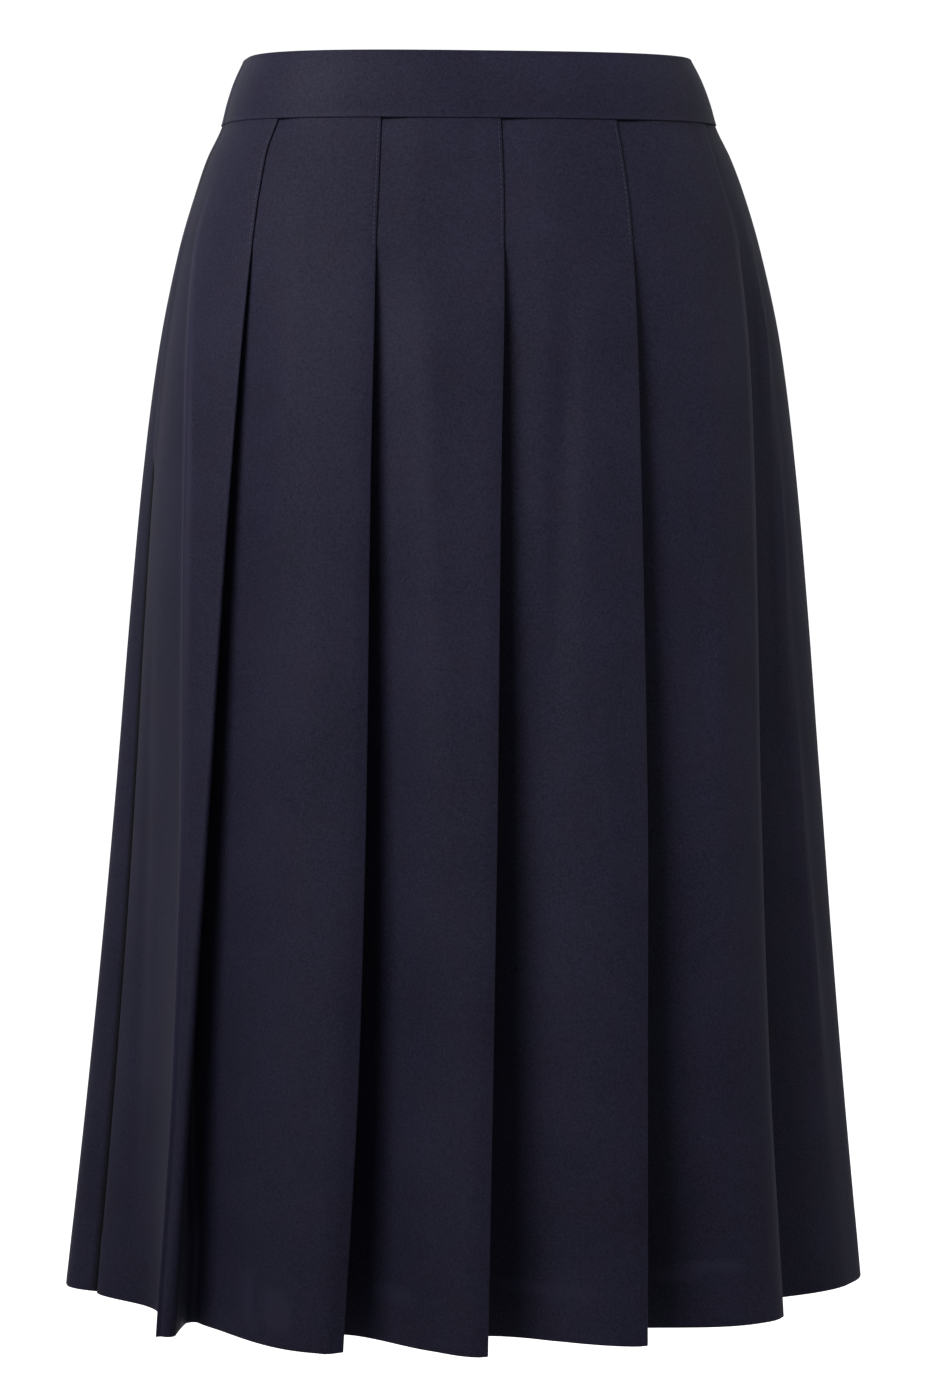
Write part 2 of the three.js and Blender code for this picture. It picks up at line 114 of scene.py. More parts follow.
# %% [markdown]
# ## Curves through a table
# Between two rows of a table the cloth must have no kink. A modeller would smooth it with
# handles on a curve. Here a cubic does it for whole arrays of heights at once, and it never
# swings past the rows, so a waist can't bulge where the table has no bulge. Two more helpers
# blend between values: one evenly, one with a soft start and end.

# %% Curves and blends
def through(places, values, where):
    """Smooth curve through a column of values. It is a cubic between each two rows, whose
    tangent at a row is the harmonic mean of the slopes on both sides, so it never overshoots."""
    places, values = np.asarray(places, float), np.asarray(values, float)
    slopes = np.diff(values) / np.diff(places)
    product, total = slopes[:-1] * slopes[1:], slopes[:-1] + slopes[1:]
    inner = np.where(product > 0, 2 * product / np.where(product > 0, total, 1), 0)
    tangents = np.concatenate([slopes[:1], inner, slopes[-1:]])
    where = np.clip(where, places[0], places[-1])
    i = np.clip(np.searchsorted(places, where, side="right") - 1, 0, len(slopes) - 1)
    width = places[i + 1] - places[i]
    t = (where - places[i]) / width
    near = (1 + 2 * t) * (1 - t) ** 2 * values[i] + t**2 * (3 - 2 * t) * values[i + 1]
    return near + width * (t * (1 - t) ** 2 * tangents[i] - t**2 * (1 - t) * tangents[i + 1])


def mix(start, end, share):
    """The value that lies `share` of the way from start to end."""
    return start + (end - start) * share


def ease(low, high, value):
    """0 below low and 1 above high, with the curve 3t^2 - 2t^3 between them."""
    t = np.clip((value - low) / (high - low), 0, 1)
    return t * t * (3 - 2 * t)


print("half width at 100 mm down:", round(float(through(SECTIONS[:, 0], SECTIONS[:, 1], 100)), 1))

# %% [markdown]
# ## Measuring along a section
# A dressmaker places a pleat by laying a tape along the cloth, and so does this script. A
# point of the cloth is given by its drop below the band, its place along the section from the
# middle of the front, and its lift out of the section. Angles would be simpler, but equal
# angles are unequal lengths of cloth. The rail below keeps the tape: one section for each
# drop, and the length along it.

# %% Rails
RAIL_SAMPLES = 1440


def section_point(rail, turn):
    """Point of a superellipse at an angle from the front: the radius r solves
    |r sin / half width|^power + |r cos / half depth|^power = 1."""
    across = np.abs(np.sin(turn) / rail.half_width) ** rail.power
    deep = np.abs(np.cos(turn) / rail.half_depth) ** rail.power
    radius = (across + deep) ** (-1 / rail.power)
    return radius * np.sin(turn), -radius * np.cos(turn)


def make_rail(drops):
    """One section for each drop, with the length along it at every sampled angle."""
    drop = np.asarray(drops, float).reshape(-1, 1)
    rail = SimpleNamespace(drop=drop)
    names = ("half_width", "half_depth", "power", "centre")
    for column, name in enumerate(names, start=1):
        setattr(rail, name, through(SECTIONS[:, 0], SECTIONS[:, column], drop))
    rail.turns = np.linspace(-np.pi, np.pi, RAIL_SAMPLES + 1)
    x, y = section_point(rail, rail.turns[None, :])
    steps = np.hypot(np.diff(x, axis=1), np.diff(y, axis=1))
    rail.along = np.concatenate([np.zeros_like(drop), np.cumsum(steps, axis=1)], axis=1)
    rail.round = rail.along[:, -1:]
    return rail


def turn_at(rail, place):
    """Angle of each place along its section. Every row's lengths are moved on by more than
    the row before it is long, so that one interpolation serves all the rows."""
    wrapped = np.mod(place + rail.round / 2, rail.round)
    shift = np.arange(len(rail.drop)).reshape(-1, 1) * (rail.round.max() + 1)
    lengths = (rail.along + shift).ravel()
    turns = np.tile(rail.turns, len(rail.drop))
    return np.interp((wrapped + shift).ravel(), lengths, turns).reshape(place.shape)


waist = make_rail([0, PANEL_LENGTH])
print(f"round the seam {waist.round[0, 0]:.0f} mm, round the hem {waist.round[1, 0]:.0f} mm")

# %% [markdown]
# ## From tape to space
# The next three functions turn drop, place and lift into x, y and z for a whole grid at once.
# Lift goes square out of the section, so the layers of a pleat lie one behind another. The hem
# of a worn skirt rises a little to the sides, and the height takes care of that.

# %% Points in space
def plan_point(rail, place, lift):
    """Section point moved out by lift along the superellipse's gradient."""
    x, y = section_point(rail, turn_at(rail, place))
    way_x = np.sign(x) * np.abs(x / rail.half_width) ** (rail.power - 1) / rail.half_width
    way_y = np.sign(y) * np.abs(y / rail.half_depth) ** (rail.power - 1) / rail.half_depth
    length = np.hypot(way_x, way_y)
    return x + lift * way_x / length, y + lift * way_y / length


def height_of(rail, place):
    """Height of a point: its drop below the seam, less the rise of the hem to the sides,
    which grows with the drop and with the square of the place."""
    rise = HEM_RISE * np.maximum(rail.drop, 0) / PANEL_LENGTH * (4 * place / rail.round) ** 2
    return SEAM_HEIGHT - rail.drop + rise


def moved_in(x, y, amount):
    """Plan lines moved inwards, square to themselves, by the given amount."""
    along_x, along_y = np.gradient(x, axis=1), np.gradient(y, axis=1)
    length = np.hypot(along_x, along_y)
    return x - amount * along_y / length, y + amount * along_x / length


front_middle = [float(v[0, 0]) for v in plan_point(waist, np.zeros((2, 1)), 0)]
print("middle of the front at the seam:", [round(v, 1) for v in front_middle])

# %% [markdown]
# ## The pleats
# All ten pleats are laid the same way. A pleat has a pressed edge, which is what shows, a
# return that runs back under it, and an inner fold. At the waist the three layers lie flat on
# each other. Below the stitching each pleat swings open: its inner fold sinks behind the edge.
# One row of the table says where the edge runs at seven drops, how far it stands out at the
# hem, how deep it opens there, how much cloth is turned under, how its next face bows, how
# much the cloth swells before the edge, and how softly the edge is rounded at the hem.

# %% Pleat tables
STATIONS = [0, 20, STITCHED_LENGTH, 210, 400, 560, 719]
LOOSE_RADIUS = 0.6
SOFT_RADIUS = 5


def pleat(across, stand, depth, under, bow, roll, soft=LOOSE_RADIUS):
    """One row of a pleat table, all in millimetres."""
    return SimpleNamespace(
        across=across, stand=stand, depth=depth, under=under, bow=bow, roll=roll, soft=soft
    )


# places of the edge at the stations, then stand, depth, under, bow, roll and softness
FRONT_PLEATS = [
    pleat([-129.5, -138, -149.5, -165, -181, -193, -204], 6, 38, 35, 11, 0.6, SOFT_RADIUS),
    pleat([-66.5, -68.5, -73.5, -79.5, -84, -89, -98.5], 4, 38, 46, -5, 1.8),
    pleat([4.2, 3.8, 1.8, -4, -8.5, -12, -15.7], 14, 44, 46, -6, 1.5),
    pleat([74.5, 76.7, 80.2, 80.6, 81.4, 80.1, 78.9], 12, 46, 46, 9, 1.0),
    pleat([142.8, 146.5, 161.5, 167.2, 169.3, 174, 183.6], -1, 41, 40, 5, 0.6),
]
BACK_PLEATS = [
    pleat([-137, -142, -153, -160, -168, -178, -194], 5, 36, 38, 6, 0.8),
    pleat([-67, -69, -73.5, -77, -82, -90, -103], 9, 40, 46, -3, 1.4),
    pleat([3, 2.5, 1.5, -2, -4, -6, -9], 11, 42, 46, 5, 1.0),
    pleat([73, 75.5, 80, 81.5, 84, 87, 90], 8, 43, 46, -2, 1.3),
    pleat([143, 147.5, 160, 166, 171, 175, 181], 4, 39, 42, 8, 0.8),
]
print("pleats:", len(FRONT_PLEATS), "in front and", len(BACK_PLEATS), "behind")

# %% [markdown]
# ## How a pleat opens
# The cloth of a return can't stretch. When the inner fold sinks behind the edge it has to
# come nearer to it, and Pythagoras says how much. Worked out this way, a return takes as much
# cloth at the hem as at the waist, which is how a pleat is cut and pressed. The opening grows
# fastest just below the stitching, where the pleat is let go.

# %% Opening, edges and seams
OPENING_POWER = 0.75
STEEPEST_RETURN = 0.98
HEM_EASING = 1.5
SEAM_FORWARD_WAIST = 6
SEAM_FORWARD_HEM = 11


def growth(drop, power):
    """How far the pleats have opened: 0 over the stitching and 1 at the hem, the share of
    the way down raised to a power."""
    return np.maximum(0, (drop - STITCHED_LENGTH) / (PANEL_LENGTH - STITCHED_LENGTH)) ** power


def pleat_at(row, drop):
    """Edge and inner fold of a pleat at each drop. The return has a fixed length, so the
    fold comes nearer the edge, by Pythagoras, as it sinks behind it. The folds' radius grows
    with the square of the opening, and is larger where the hem makes the cloth double."""
    opened = growth(drop, OPENING_POWER)
    edge = through(STATIONS, row.across, drop)
    spread = mix(2 * LAYER_STEP, row.depth, opened)
    slope = np.minimum(spread - 2 * LAYER_STEP, STEEPEST_RETURN * row.under)
    edge_lift = row.stand * opened
    in_hem = ease(PANEL_LENGTH - HEM_EASING * HEM_DEPTH, PANEL_LENGTH - HEM_DEPTH, drop)
    softened = mix(FOLD_RADIUS, row.soft, opened**2)
    return SimpleNamespace(
        radius=np.maximum(softened, mix(FOLD_RADIUS, HEM_FOLD_RADIUS, in_hem)),
        edge=edge,
        edge_lift=edge_lift,
        fold=edge - np.sqrt(row.under**2 - slope**2),
        fold_lift=edge_lift - spread,
        loose=slope / row.under,
    )


def seam_place(rail):
    """Place of the side seams, a little forward of the quarter."""
    forward = mix(SEAM_FORWARD_WAIST, SEAM_FORWARD_HEM, np.maximum(rail.drop, 0) / PANEL_LENGTH)
    return rail.round / 4 - forward


for side, table in (("front", FRONT_PLEATS), ("back", BACK_PLEATS)):
    at_hem = [pleat_at(row, PANEL_LENGTH) for row in table]
    print(side, "edges at the hem", [round(float(p.edge)) for p in at_hem])

# %% [markdown]
# ## Creases
# Hanging cloth is never quite smooth. These are the soft ridges and hollows of each panel.
# Sculpting would make them too, but a table keeps them editable: each is placed as it
# hangs, as a low bell across the cloth that fades out at both of its ends. Stretches are
# counted from the first side seam: 0 runs to the soft ridge beside it, 1 to the first pleat,
# 2 to the second, and 6 from the last pleat to the far seam.

# %% Crease tables
# stretch, share across it, drop at top and foot, drift on the way down, half width, height
FRONT_CREASES = [
    (0, 1, 10, 719, 0, 3, 2.4),
    (1, 0, 10, 719, 0, 3, 2.4),
    (0, 0.35, 240, 700, -6, 9, -1.2),
    (1, 0.55, 90, 420, -2, 5, 0.5),
    (2, 0.18, 130, 560, -4, 8, -0.7),
    (2, 0.36, 60, 360, 3, 6, 1.9),
    (2, 0.62, 240, 660, -3, 9, 1.2),
    (2, 0.82, 560, 719, 10, 3, 1.1),
    (2, 0.78, 430, 600, 12, 3, 0.5),
    (3, 0.4, 90, 460, 4, 7, 1.3),
    (3, 0.7, 330, 719, -3, 8, -1.2),
    (4, 0.5, 60, 420, -10, 7, -3.8),
    (4, 0.74, 100, 520, 2, 8, 1.2),
    (4, 0.4, 540, 719, 4, 5, 0.6),
    (5, 0.42, 90, 430, 6, 8, -3.0),
    (5, 0.66, 200, 650, -4, 8, 1.3),
    (5, 0.84, 600, 719, 6, 5, 0.5),
    (6, 0.3, 30, 360, 20, 3, 3.6),
    (6, 0.44, 240, 650, 26, 5, 2.8),
    (6, 0.75, 420, 719, 6, 10, -1.2),
]
BACK_CREASES = [
    (0, 0.5, 200, 640, 5, 9, -1.0),
    (1, 0.5, 80, 400, 3, 7, 0.6),
    (2, 0.3, 120, 520, 4, 8, 0.7),
    (2, 0.7, 300, 719, -5, 9, -0.7),
    (3, 0.42, 70, 380, -5, 7, -1.6),
    (3, 0.68, 240, 600, 3, 9, 0.7),
    (4, 0.5, 90, 500, 6, 8, 1.3),
    (4, 0.8, 520, 719, -8, 5, 0.8),
    (5, 0.4, 150, 560, -3, 8, -0.6),
    (5, 0.72, 60, 300, 4, 6, 0.6),
    (6, 0.4, 60, 380, 14, 6, 1.2),
    (6, 0.7, 380, 700, 8, 10, -1.0),
]
CREASE_FADE = 0.35


def crease_lift(creases, stretch, share, width, drop):
    """Sum of bells exp(-(distance / half width)^2), each times a rise and fall along its
    length. The distance is measured across the cloth, from a line that drifts on its way. A
    crease that reaches the hem doesn't fade there."""
    lift = np.zeros(np.broadcast(share, drop).shape)
    here = [row[1:] for row in creases if row[0] == stretch]
    for middle, top, foot, drift, half, height in here:
        way = np.clip((drop - top) / (foot - top), 0, 1)
        distance = (share - middle) * width - drift * way
        at_hem = foot >= PANEL_LENGTH
        fade = ease(0, CREASE_FADE, way)
        if not at_hem:
            fade = fade * ease(0, CREASE_FADE, 1 - way)
        lift = lift + height * fade * np.exp(-((distance / half) ** 2))
    return lift


print("creases:", len(FRONT_CREASES), "in front and", len(BACK_CREASES), "behind")

# %% [markdown]
# ## One panel as a grid
# The panel is drawn level by level, as a line across from its first seam to its last. The
# line has a few kinds of stretch: the turned-in edge at a seam, a hanging trough, the flat
# run to an edge, the round of the fold, the return, the inner fold, and the face that rises
# to the next edge. Each is an array of columns by all the rows, and they are laid side by
# side. The first kind is the seam: the raw edge turns in, and two such edges meet there.

# %% Turned-in seam edges
TURN_STEPS = 3
TURN_RADIUS = 1.4
TURN_DEPTH = 2.6


def steps(count):
    """The shares after 0 of a stretch that is cut in equal steps."""
    return (np.arange(count) + 1)[None, :] / count


def seam_turn(start, lift, sign):
    """The edge of a panel where it turns in at a seam: a straight bit square to the cloth
    and a quarter round. sign is 1 at the first seam and -1 at the last."""
    angle = np.linspace(0, np.pi / 2, TURN_STEPS + 1)[None, :]
    edge = start + sign * CLOTH_THICKNESS / 2
    place = edge + sign * TURN_RADIUS * (1 - np.cos(angle))
    raised = lift - TURN_RADIUS * (1 - np.sin(angle))
    place = np.concatenate([edge + 0 * lift, place], axis=1)
    raised = np.concatenate([lift - TURN_DEPTH, raised], axis=1)
    return (place, raised) if sign > 0 else (place[:, ::-1], raised[:, ::-1])


print("a seam edge has", seam_turn(np.zeros((1, 1)), np.zeros((1, 1)), 1)[0].shape[1], "columns")

# %% [markdown]
# ## Folds
# A pressed edge isn't a paper crease. It could be a sharp line with a bevel on it, but a bevel
# knows nothing of the layer below. Here both rounds of a pleat are true arcs, so the edges
# catch the light as cloth does and the layers keep their distance.

# %% Edge, return and inner fold
ARC_STEPS = 6
RETURN_STEPS = 6


def fold_arcs(p):
    """The round of a pleat's edge, its return and its inner fold. Both rounds are arcs of
    one radius, and they turn just so far that the straight return is tangent to them. In
    the hem, where the cloth is double, the radius is larger."""
    end = np.pi - np.arcsin(p.loose)
    outer = np.linspace(0, 1, ARC_STEPS + 1)[None, :] * end
    place = p.edge - p.radius + p.radius * np.sin(outer)
    lift = p.edge_lift - p.radius + p.radius * np.cos(outer)
    inner = mix(np.arcsin(p.loose), np.pi, np.linspace(0, 1, ARC_STEPS + 1)[None, :])
    low_place = p.fold - p.radius * np.sin(inner)
    low_lift = p.fold_lift + p.radius + p.radius * np.cos(inner)
    run = steps(RETURN_STEPS)[:, :-1]
    mid_place = mix(place[:, -1:], low_place[:, :1], run)
    mid_lift = mix(lift[:, -1:], low_lift[:, :1], run)
    return (
        np.concatenate([place, mid_place, low_place], axis=1),
        np.concatenate([lift, mid_lift, low_lift], axis=1),
    )


second = pleat_at(FRONT_PLEATS[1], PANEL_LENGTH)
print("second fold at the hem: edge", round(float(second.edge)), "inner fold", round(float(second.fold)))

# %% [markdown]
# ## Faces
# The face is what shows between two pleats. Over the stitching it lies flat in two steps, under
# one pleat and over the next. Below, it hangs free from the inner fold to the next edge, in one
# long curve. Both are the same line with its breaks moved, so the one turns into the other
# without a seam.

# %% The face of a pleat
FACE_STEPS = (8, 8, 9)
HANGING_BREAKS = (0, 0.25, 0.6, 1)
LATEST_RISE = 0.8
LOOSE_RISE = 0.14
QUICKEST_RISE = 0.08


def face_line(p, end_place, end_lift, risen, bow):
    """The cloth from an inner fold to the next edge. It lies flat under the pleat, rises
    over the next inner fold along 3t^2 - 2t^3, and bows by 4t(1 - t) where it hangs free."""
    length = end_place - p.fold
    closed_start = np.minimum(LATEST_RISE, (p.edge + LAYER_GAP - p.fold) / length)
    closed_end = np.maximum(closed_start + QUICKEST_RISE, (risen - p.fold) / length)
    rise_start = mix(closed_start, LOOSE_RISE, p.loose)
    rise_end = mix(closed_end, 1, p.loose)
    breaks = (0 * rise_start, rise_start, rise_end, 0 * rise_start + 1)
    loose = rise_end - rise_start
    shares = []
    for part, count in enumerate(FACE_STEPS):
        start = mix(breaks[part], HANGING_BREAKS[part], loose)
        end = mix(breaks[part + 1], HANGING_BREAKS[part + 1], loose)
        shares.append(mix(start, end, steps(count)))
    share = np.concatenate(shares, axis=1)
    rise = ease(rise_start, rise_end, share)
    lift = mix(p.fold_lift, end_lift, rise) + bow * 4 * share * (1 - share)
    return share, mix(p.fold, end_place, share), lift


print("columns of a face:", sum(FACE_STEPS))

# %% [markdown]
# ## Lip, roll and trough
# Three low forms make the pleats look worn and not drawn: the front edge of the side opening
# stands out a little as far down as it is open, the cloth swells before it rolls over an edge,
# and the panel sags beside its soft ridge. Each is one short formula that is added to the lift.

# %% Low forms
LIP_LIFT = 1.8
LIP_REACH = 7
LIP_FROM = 25
LIP_FULL = 110
LIP_TAIL = 14
LIP_END = 3
ROLL_REACH = 6
SAG_POWER = 2.4
TROUGH_POWER = 1.25


def lip_lift(distance, drop):
    """The front edge of the side opening stands proud of the back one: a bell that falls
    off away from the seam, over the length of the opening."""
    rise = ease(LIP_FROM, LIP_FULL, drop)
    fall = ease(STRIP_LENGTH - LIP_TAIL, STRIP_LENGTH - LIP_END, drop)
    return LIP_LIFT * rise * (1 - fall) * np.exp(-((distance / LIP_REACH) ** 2))


def roll_lift(height, distance, opened):
    """The cloth swells a little before it rolls over into a pressed edge: with t the distance
    from the edge over the reach, the swell is t exp(1 - t), so it is highest at t = 1."""
    t = np.maximum(distance, 0) / ROLL_REACH
    return height * np.sqrt(opened) * t * np.exp(1 - t)


def trough_lift(panel, share, drop):
    """The trough beside the soft ridge: sag times 4s(1 - s), where s is the share across
    raised to a power, so the trough is deepest near the ridge. It grows towards the hem."""
    s = share**TROUGH_POWER
    return panel.ridge.sag * growth(drop, SAG_POWER) * 4 * s * (1 - s)


print("the lip at 150 mm down:", round(float(lip_lift(0, 150)), 2), "mm")

# %% [markdown]
# ## The whole line
# Now the stretches are laid side by side, from seam to seam. The function takes a panel as a
# set of named values, so one function makes front and back. All rows are worked out together:
# every stretch is a block of columns, and the blocks are joined at the end.

# %% Laying the stretches
TROUGH_STEPS = 24
RIDGE_STEPS = 16
END_STEPS = 6
DIP_POWER = 1.5
SEAM_DIP = 17
CORNER_REACH = 22


def panel_line(panel, rail):
    """Place and lift of every column at every row, from the first seam to the last."""
    drop = rail.drop
    opened = growth(drop, OPENING_POWER)
    pleats = [pleat_at(row, drop) for row in panel.pleats]
    places, lifts = [], []

    def lay(place, lift):
        """Adds a block of columns, spread over all the rows."""
        places.append(np.broadcast_to(place, (len(drop), place.shape[1])))
        lifts.append(np.broadcast_to(lift, (len(drop), lift.shape[1])))

    start = panel.first_seam(rail) + SEAM_GAP / 2
    start_lift = panel.first_dip * opened
    lay(*seam_turn(start, start_lift + panel.lip * lip_lift(0, drop), 1))
    start = start + CLOTH_THICKNESS / 2 + TURN_RADIUS
    end = through(STATIONS, panel.ridge.across, drop)
    share = steps(TROUGH_STEPS)
    place = mix(start, end, share)
    lift = mix(start_lift, panel.ridge.stand * opened, share)
    lift = lift + trough_lift(panel, share, drop)
    lift = lift + panel.lip * lip_lift(place - start, drop)
    lay(place, lift + crease_lift(panel.creases, 0, share, end - start, drop))

    first = pleats[0]
    share = steps(RIDGE_STEPS)[:, :-1]
    place = mix(end, first.edge - first.radius, share)
    lift = mix(panel.ridge.stand * opened, first.edge_lift, share)
    lay(place, lift + crease_lift(panel.creases, 1, share, first.edge - end, drop))

    last_seam = panel.last_seam(rail) - SEAM_GAP / 2
    corner = last_seam - CORNER_REACH
    for i, p in enumerate(pleats):
        lay(*fold_arcs(p))
        is_last = i == len(pleats) - 1
        end_place = corner if is_last else pleats[i + 1].edge - pleats[i + 1].radius
        end_lift = 0 * opened if is_last else pleats[i + 1].edge_lift
        risen = corner if is_last else pleats[i + 1].fold - LAYER_STEP
        share, place, lift = face_line(p, end_place, end_lift, risen, panel.pleats[i].bow * opened)
        if not is_last:
            lift = lift + roll_lift(panel.pleats[i + 1].roll, end_place - place, opened)
        shown = (place - p.edge) / (end_place - p.edge)
        lift = lift + crease_lift(panel.creases, i + 2, shown, end_place - p.edge, drop)
        keep = slice(None) if is_last else slice(0, -1)
        lay(place[:, keep], lift[:, keep])

    seam_end = last_seam - CLOTH_THICKNESS / 2 - TURN_RADIUS
    share = steps(END_STEPS)[:, :-1]
    last_dip = panel.last_dip * opened
    lay(mix(corner, seam_end, share), last_dip * share**DIP_POWER)
    lay(*seam_turn(last_seam, last_dip, -1))
    return np.concatenate(places, axis=1), np.concatenate(lifts, axis=1)


print("columns beside the first seam:", TROUGH_STEPS, "and on to the first pleat:", RIDGE_STEPS)

# %% [markdown]
# ## Front and back as values
# A panel is its pleats, its soft ridge, its creases, its two seams and how far the cloth dips
# there. The seam at the wearer's right sinks between two ridges, so that side has a dip and,
# in front, the lip of the opening. The sign turns the back half round.

# %% The two panels
def ridge(across, stand, sag):
    """The soft ridge beside a first seam, and how far the trough before it sags."""
    return SimpleNamespace(across=across, stand=stand, sag=sag)


FRONT = SimpleNamespace(
    pleats=FRONT_PLEATS,
    ridge=ridge([-170, -178, -199, -197, -198, -202, -212], stand=6, sag=-31),
    creases=FRONT_CREASES,
    first_seam=lambda rail: -seam_place(rail),
    last_seam=seam_place,
    first_dip=-SEAM_DIP,
    last_dip=0,
    lip=1,
    sign=1,
)
BACK = SimpleNamespace(
    pleats=BACK_PLEATS,
    ridge=ridge([-170, -177, -192, -194, -201, -212, -228], stand=3, sag=-9),
    creases=BACK_CREASES,
    first_seam=lambda rail: seam_place(rail) - rail.round / 2,
    last_seam=lambda rail: rail.round / 2 - seam_place(rail),
    first_dip=0,
    last_dip=-SEAM_DIP,
    lip=0,
    sign=-1,
)
sample = panel_line(FRONT, make_rail([0, STITCHED_LENGTH, PANEL_LENGTH]))
print("front line:", sample[0].shape[1], "points across")

# %% [markdown]
# ## The hem
# The hem is turned up inside and caught with blind stitches that barely show. A second sheet
# behind the first would do, but its edge would gape. So the rows of the grid don't stop at
# the hem: they go round a small fold and up again behind the cloth, and panel and hem are one
# sheet, as on the real skirt. Where the turned-up edge ends, its thickness prints through as
# a faint step, stronger in some places than in others. At the top the rows start inside the
# band, because a panel is sewn into it.

# %% Rows down the panel and round the hem
UPPER_END = 150
UPPER_ROWS = 45
LOWER_ROWS = 112
NEAR_HEM = 6
NEAR_HEM_ROWS = 3
FOLD_ROWS = 7
HEM_ROWS = 9
HEM_PRINT = 0.35
HEM_PRINT_REACH = 4
HEM_PRINT_MEAN = 0.55
# strength, length in millimetres and shift of each slow wave along the hem
HEM_PRINT_WAVES = [(0.3, 17, 0), (0.15, 7.3, 1)]


def panel_rows():
    """Drop and inset of every row. Down the panel the inset is 0, round the fold the two
    follow a half circle, and up the turned hem the inset is the fold's width."""
    fold = np.linspace(0, np.pi, FOLD_ROWS)[1:-1]
    lowest = PANEL_LENGTH - HEM_RADIUS
    down = np.concatenate([
        np.linspace(-SEWN_IN, UPPER_END, UPPER_ROWS),
        np.linspace(UPPER_END, PANEL_LENGTH - NEAR_HEM, LOWER_ROWS)[1:],
        np.linspace(PANEL_LENGTH - NEAR_HEM, lowest, NEAR_HEM_ROWS)[1:],
    ])
    up = np.linspace(lowest, PANEL_LENGTH - HEM_DEPTH, HEM_ROWS)
    drop = np.concatenate([down, lowest + HEM_RADIUS * np.sin(fold), up])
    inset = np.concatenate([0 * down, HEM_RADIUS * (1 - np.cos(fold)), 2 * HEM_RADIUS + 0 * up])
    return drop, inset


def hem_print(place, drop):
    """The step where the turned-up edge shows through: a smooth step in the drop, weakened
    here and there by a sum of slow sine waves along the cloth."""
    uneven = HEM_PRINT_MEAN
    for strength, length, shift in HEM_PRINT_WAVES:
        uneven = uneven + strength * np.sin(place / length + shift)
    line = PANEL_LENGTH - HEM_DEPTH
    return HEM_PRINT * uneven * ease(line - HEM_PRINT_REACH / 2, line + HEM_PRINT_REACH / 2, drop)


def panel_points(panel, drops, insets):
    """Points of a panel's grid in millimetres, from the line at every drop. The rows of the
    turned hem are moved inwards by their insets."""
    rail = make_rail(drops)
    place, lift = panel_line(panel, rail)
    x, y = plan_point(rail, place, lift + hem_print(place, rail.drop))
    x, y = moved_in(x, y, np.asarray(insets).reshape(-1, 1))
    x, y = panel.sign * x + rail.centre, panel.sign * y
    return np.stack([x, y, height_of(rail, place)], axis=-1)


rows, insets = panel_rows()
print("rows:", len(rows), "of which round the hem and up:", int((insets > 0).sum()))

# %% [markdown]
# ## From grid to mesh
# Every piece of cloth goes through one function. It takes the grid of points, joins
# neighbours into four-sided faces that point outwards, and writes a UV map in metres of
# cloth. Unwrapping in the editor would stretch the map over the folds. Sums of the steps
# between points give it exactly, so a weave drawn on it keeps its true size.

# %% Mesh helpers
def cloth_lengths(points):
    """Length along each row and each column of a grid, as sums of the steps between points."""
    across = np.linalg.norm(np.diff(points, axis=1), axis=2)
    down = np.linalg.norm(np.diff(points, axis=0), axis=2)
    u = np.concatenate([np.zeros((len(points), 1)), np.cumsum(across, axis=1)], axis=1)
    v = np.concatenate([np.zeros((1, points.shape[1])), np.cumsum(down, axis=0)], axis=0)
    return u, v


def new_mesh(name, points, faces, uv=None):
    """A smooth mesh object from metres, faces of vertex numbers, and a UV for each vertex."""
    mesh = bpy.data.meshes.new(name)
    mesh.from_pydata(points, [], faces)
    mesh.polygons.foreach_set("use_smooth", np.ones(len(faces), bool))
    if uv is not None:
        layer = mesh.uv_layers.new(name="cloth")
        corner = np.empty(len(mesh.loops), int)
        mesh.loops.foreach_get("vertex_index", corner)
        layer.data.foreach_set("uv", uv[corner].ravel())
    mesh.validate()
    piece = bpy.data.objects.new(name, mesh)
    bpy.context.scene.collection.objects.link(piece)
    return piece


def grid_faces(rows, columns, closed=False):
    """Corner numbers of each cell of a grid: above left, below left, below right, above
    right, which faces outwards. A closed grid joins its last row to its first."""
    number = np.arange(rows * columns).reshape(rows, columns)
    if closed:
        number = np.concatenate([number, number[:1]], axis=0)
    corners = (number[:-1, :-1], number[1:, :-1], number[1:, 1:], number[:-1, 1:])
    return np.stack(corners, axis=-1).reshape(-1, 4)


def grid_piece(name, points, middle_column=0):
    """A cloth grid in millimetres as an object, with its UV in metres measured from the
    middle column, where the grain runs straight down."""
    u, v = cloth_lengths(points)
    u = u - u[:, middle_column:middle_column + 1]
    uv = np.stack([u, -v], axis=-1).reshape(-1, 2) * MM
    rows, columns = points.shape[:2]
    faces = grid_faces(rows, columns).tolist()
    return new_mesh(name, points.reshape(-1, 3) * MM, faces, uv)


print("faces of a grid of 3 by 3 points:", len(grid_faces(3, 3)))

# %% [markdown]
# ## Thickness and measures
# The grid is the middle of the cloth. Drawing the other side of it too would double the work
# and let the two drift apart, so the Solidify modifier gives the sheet its thickness, half to
# each side. The area is measured on the grid, because a maker cuts one layer.

# %% Thickness, area and triangles
def thicken(piece, thickness):
    """Gives a sheet its thickness, half to each side."""
    solid = piece.modifiers.new("cloth thickness", "SOLIDIFY")
    solid.thickness = thickness * MM
    solid.offset = 0
    return piece


def grid_area(points):
    """Area of a grid's faces in square metres, each cut in two triangles."""
    a, b, c, d = points[:-1, :-1], points[1:, :-1], points[1:, 1:], points[:-1, 1:]
    half_one = np.linalg.norm(np.cross(b - a, c - a), axis=-1)
    half_two = np.linalg.norm(np.cross(c - a, d - a), axis=-1)
    return float((half_one + half_two).sum() / 2 * MM**2)


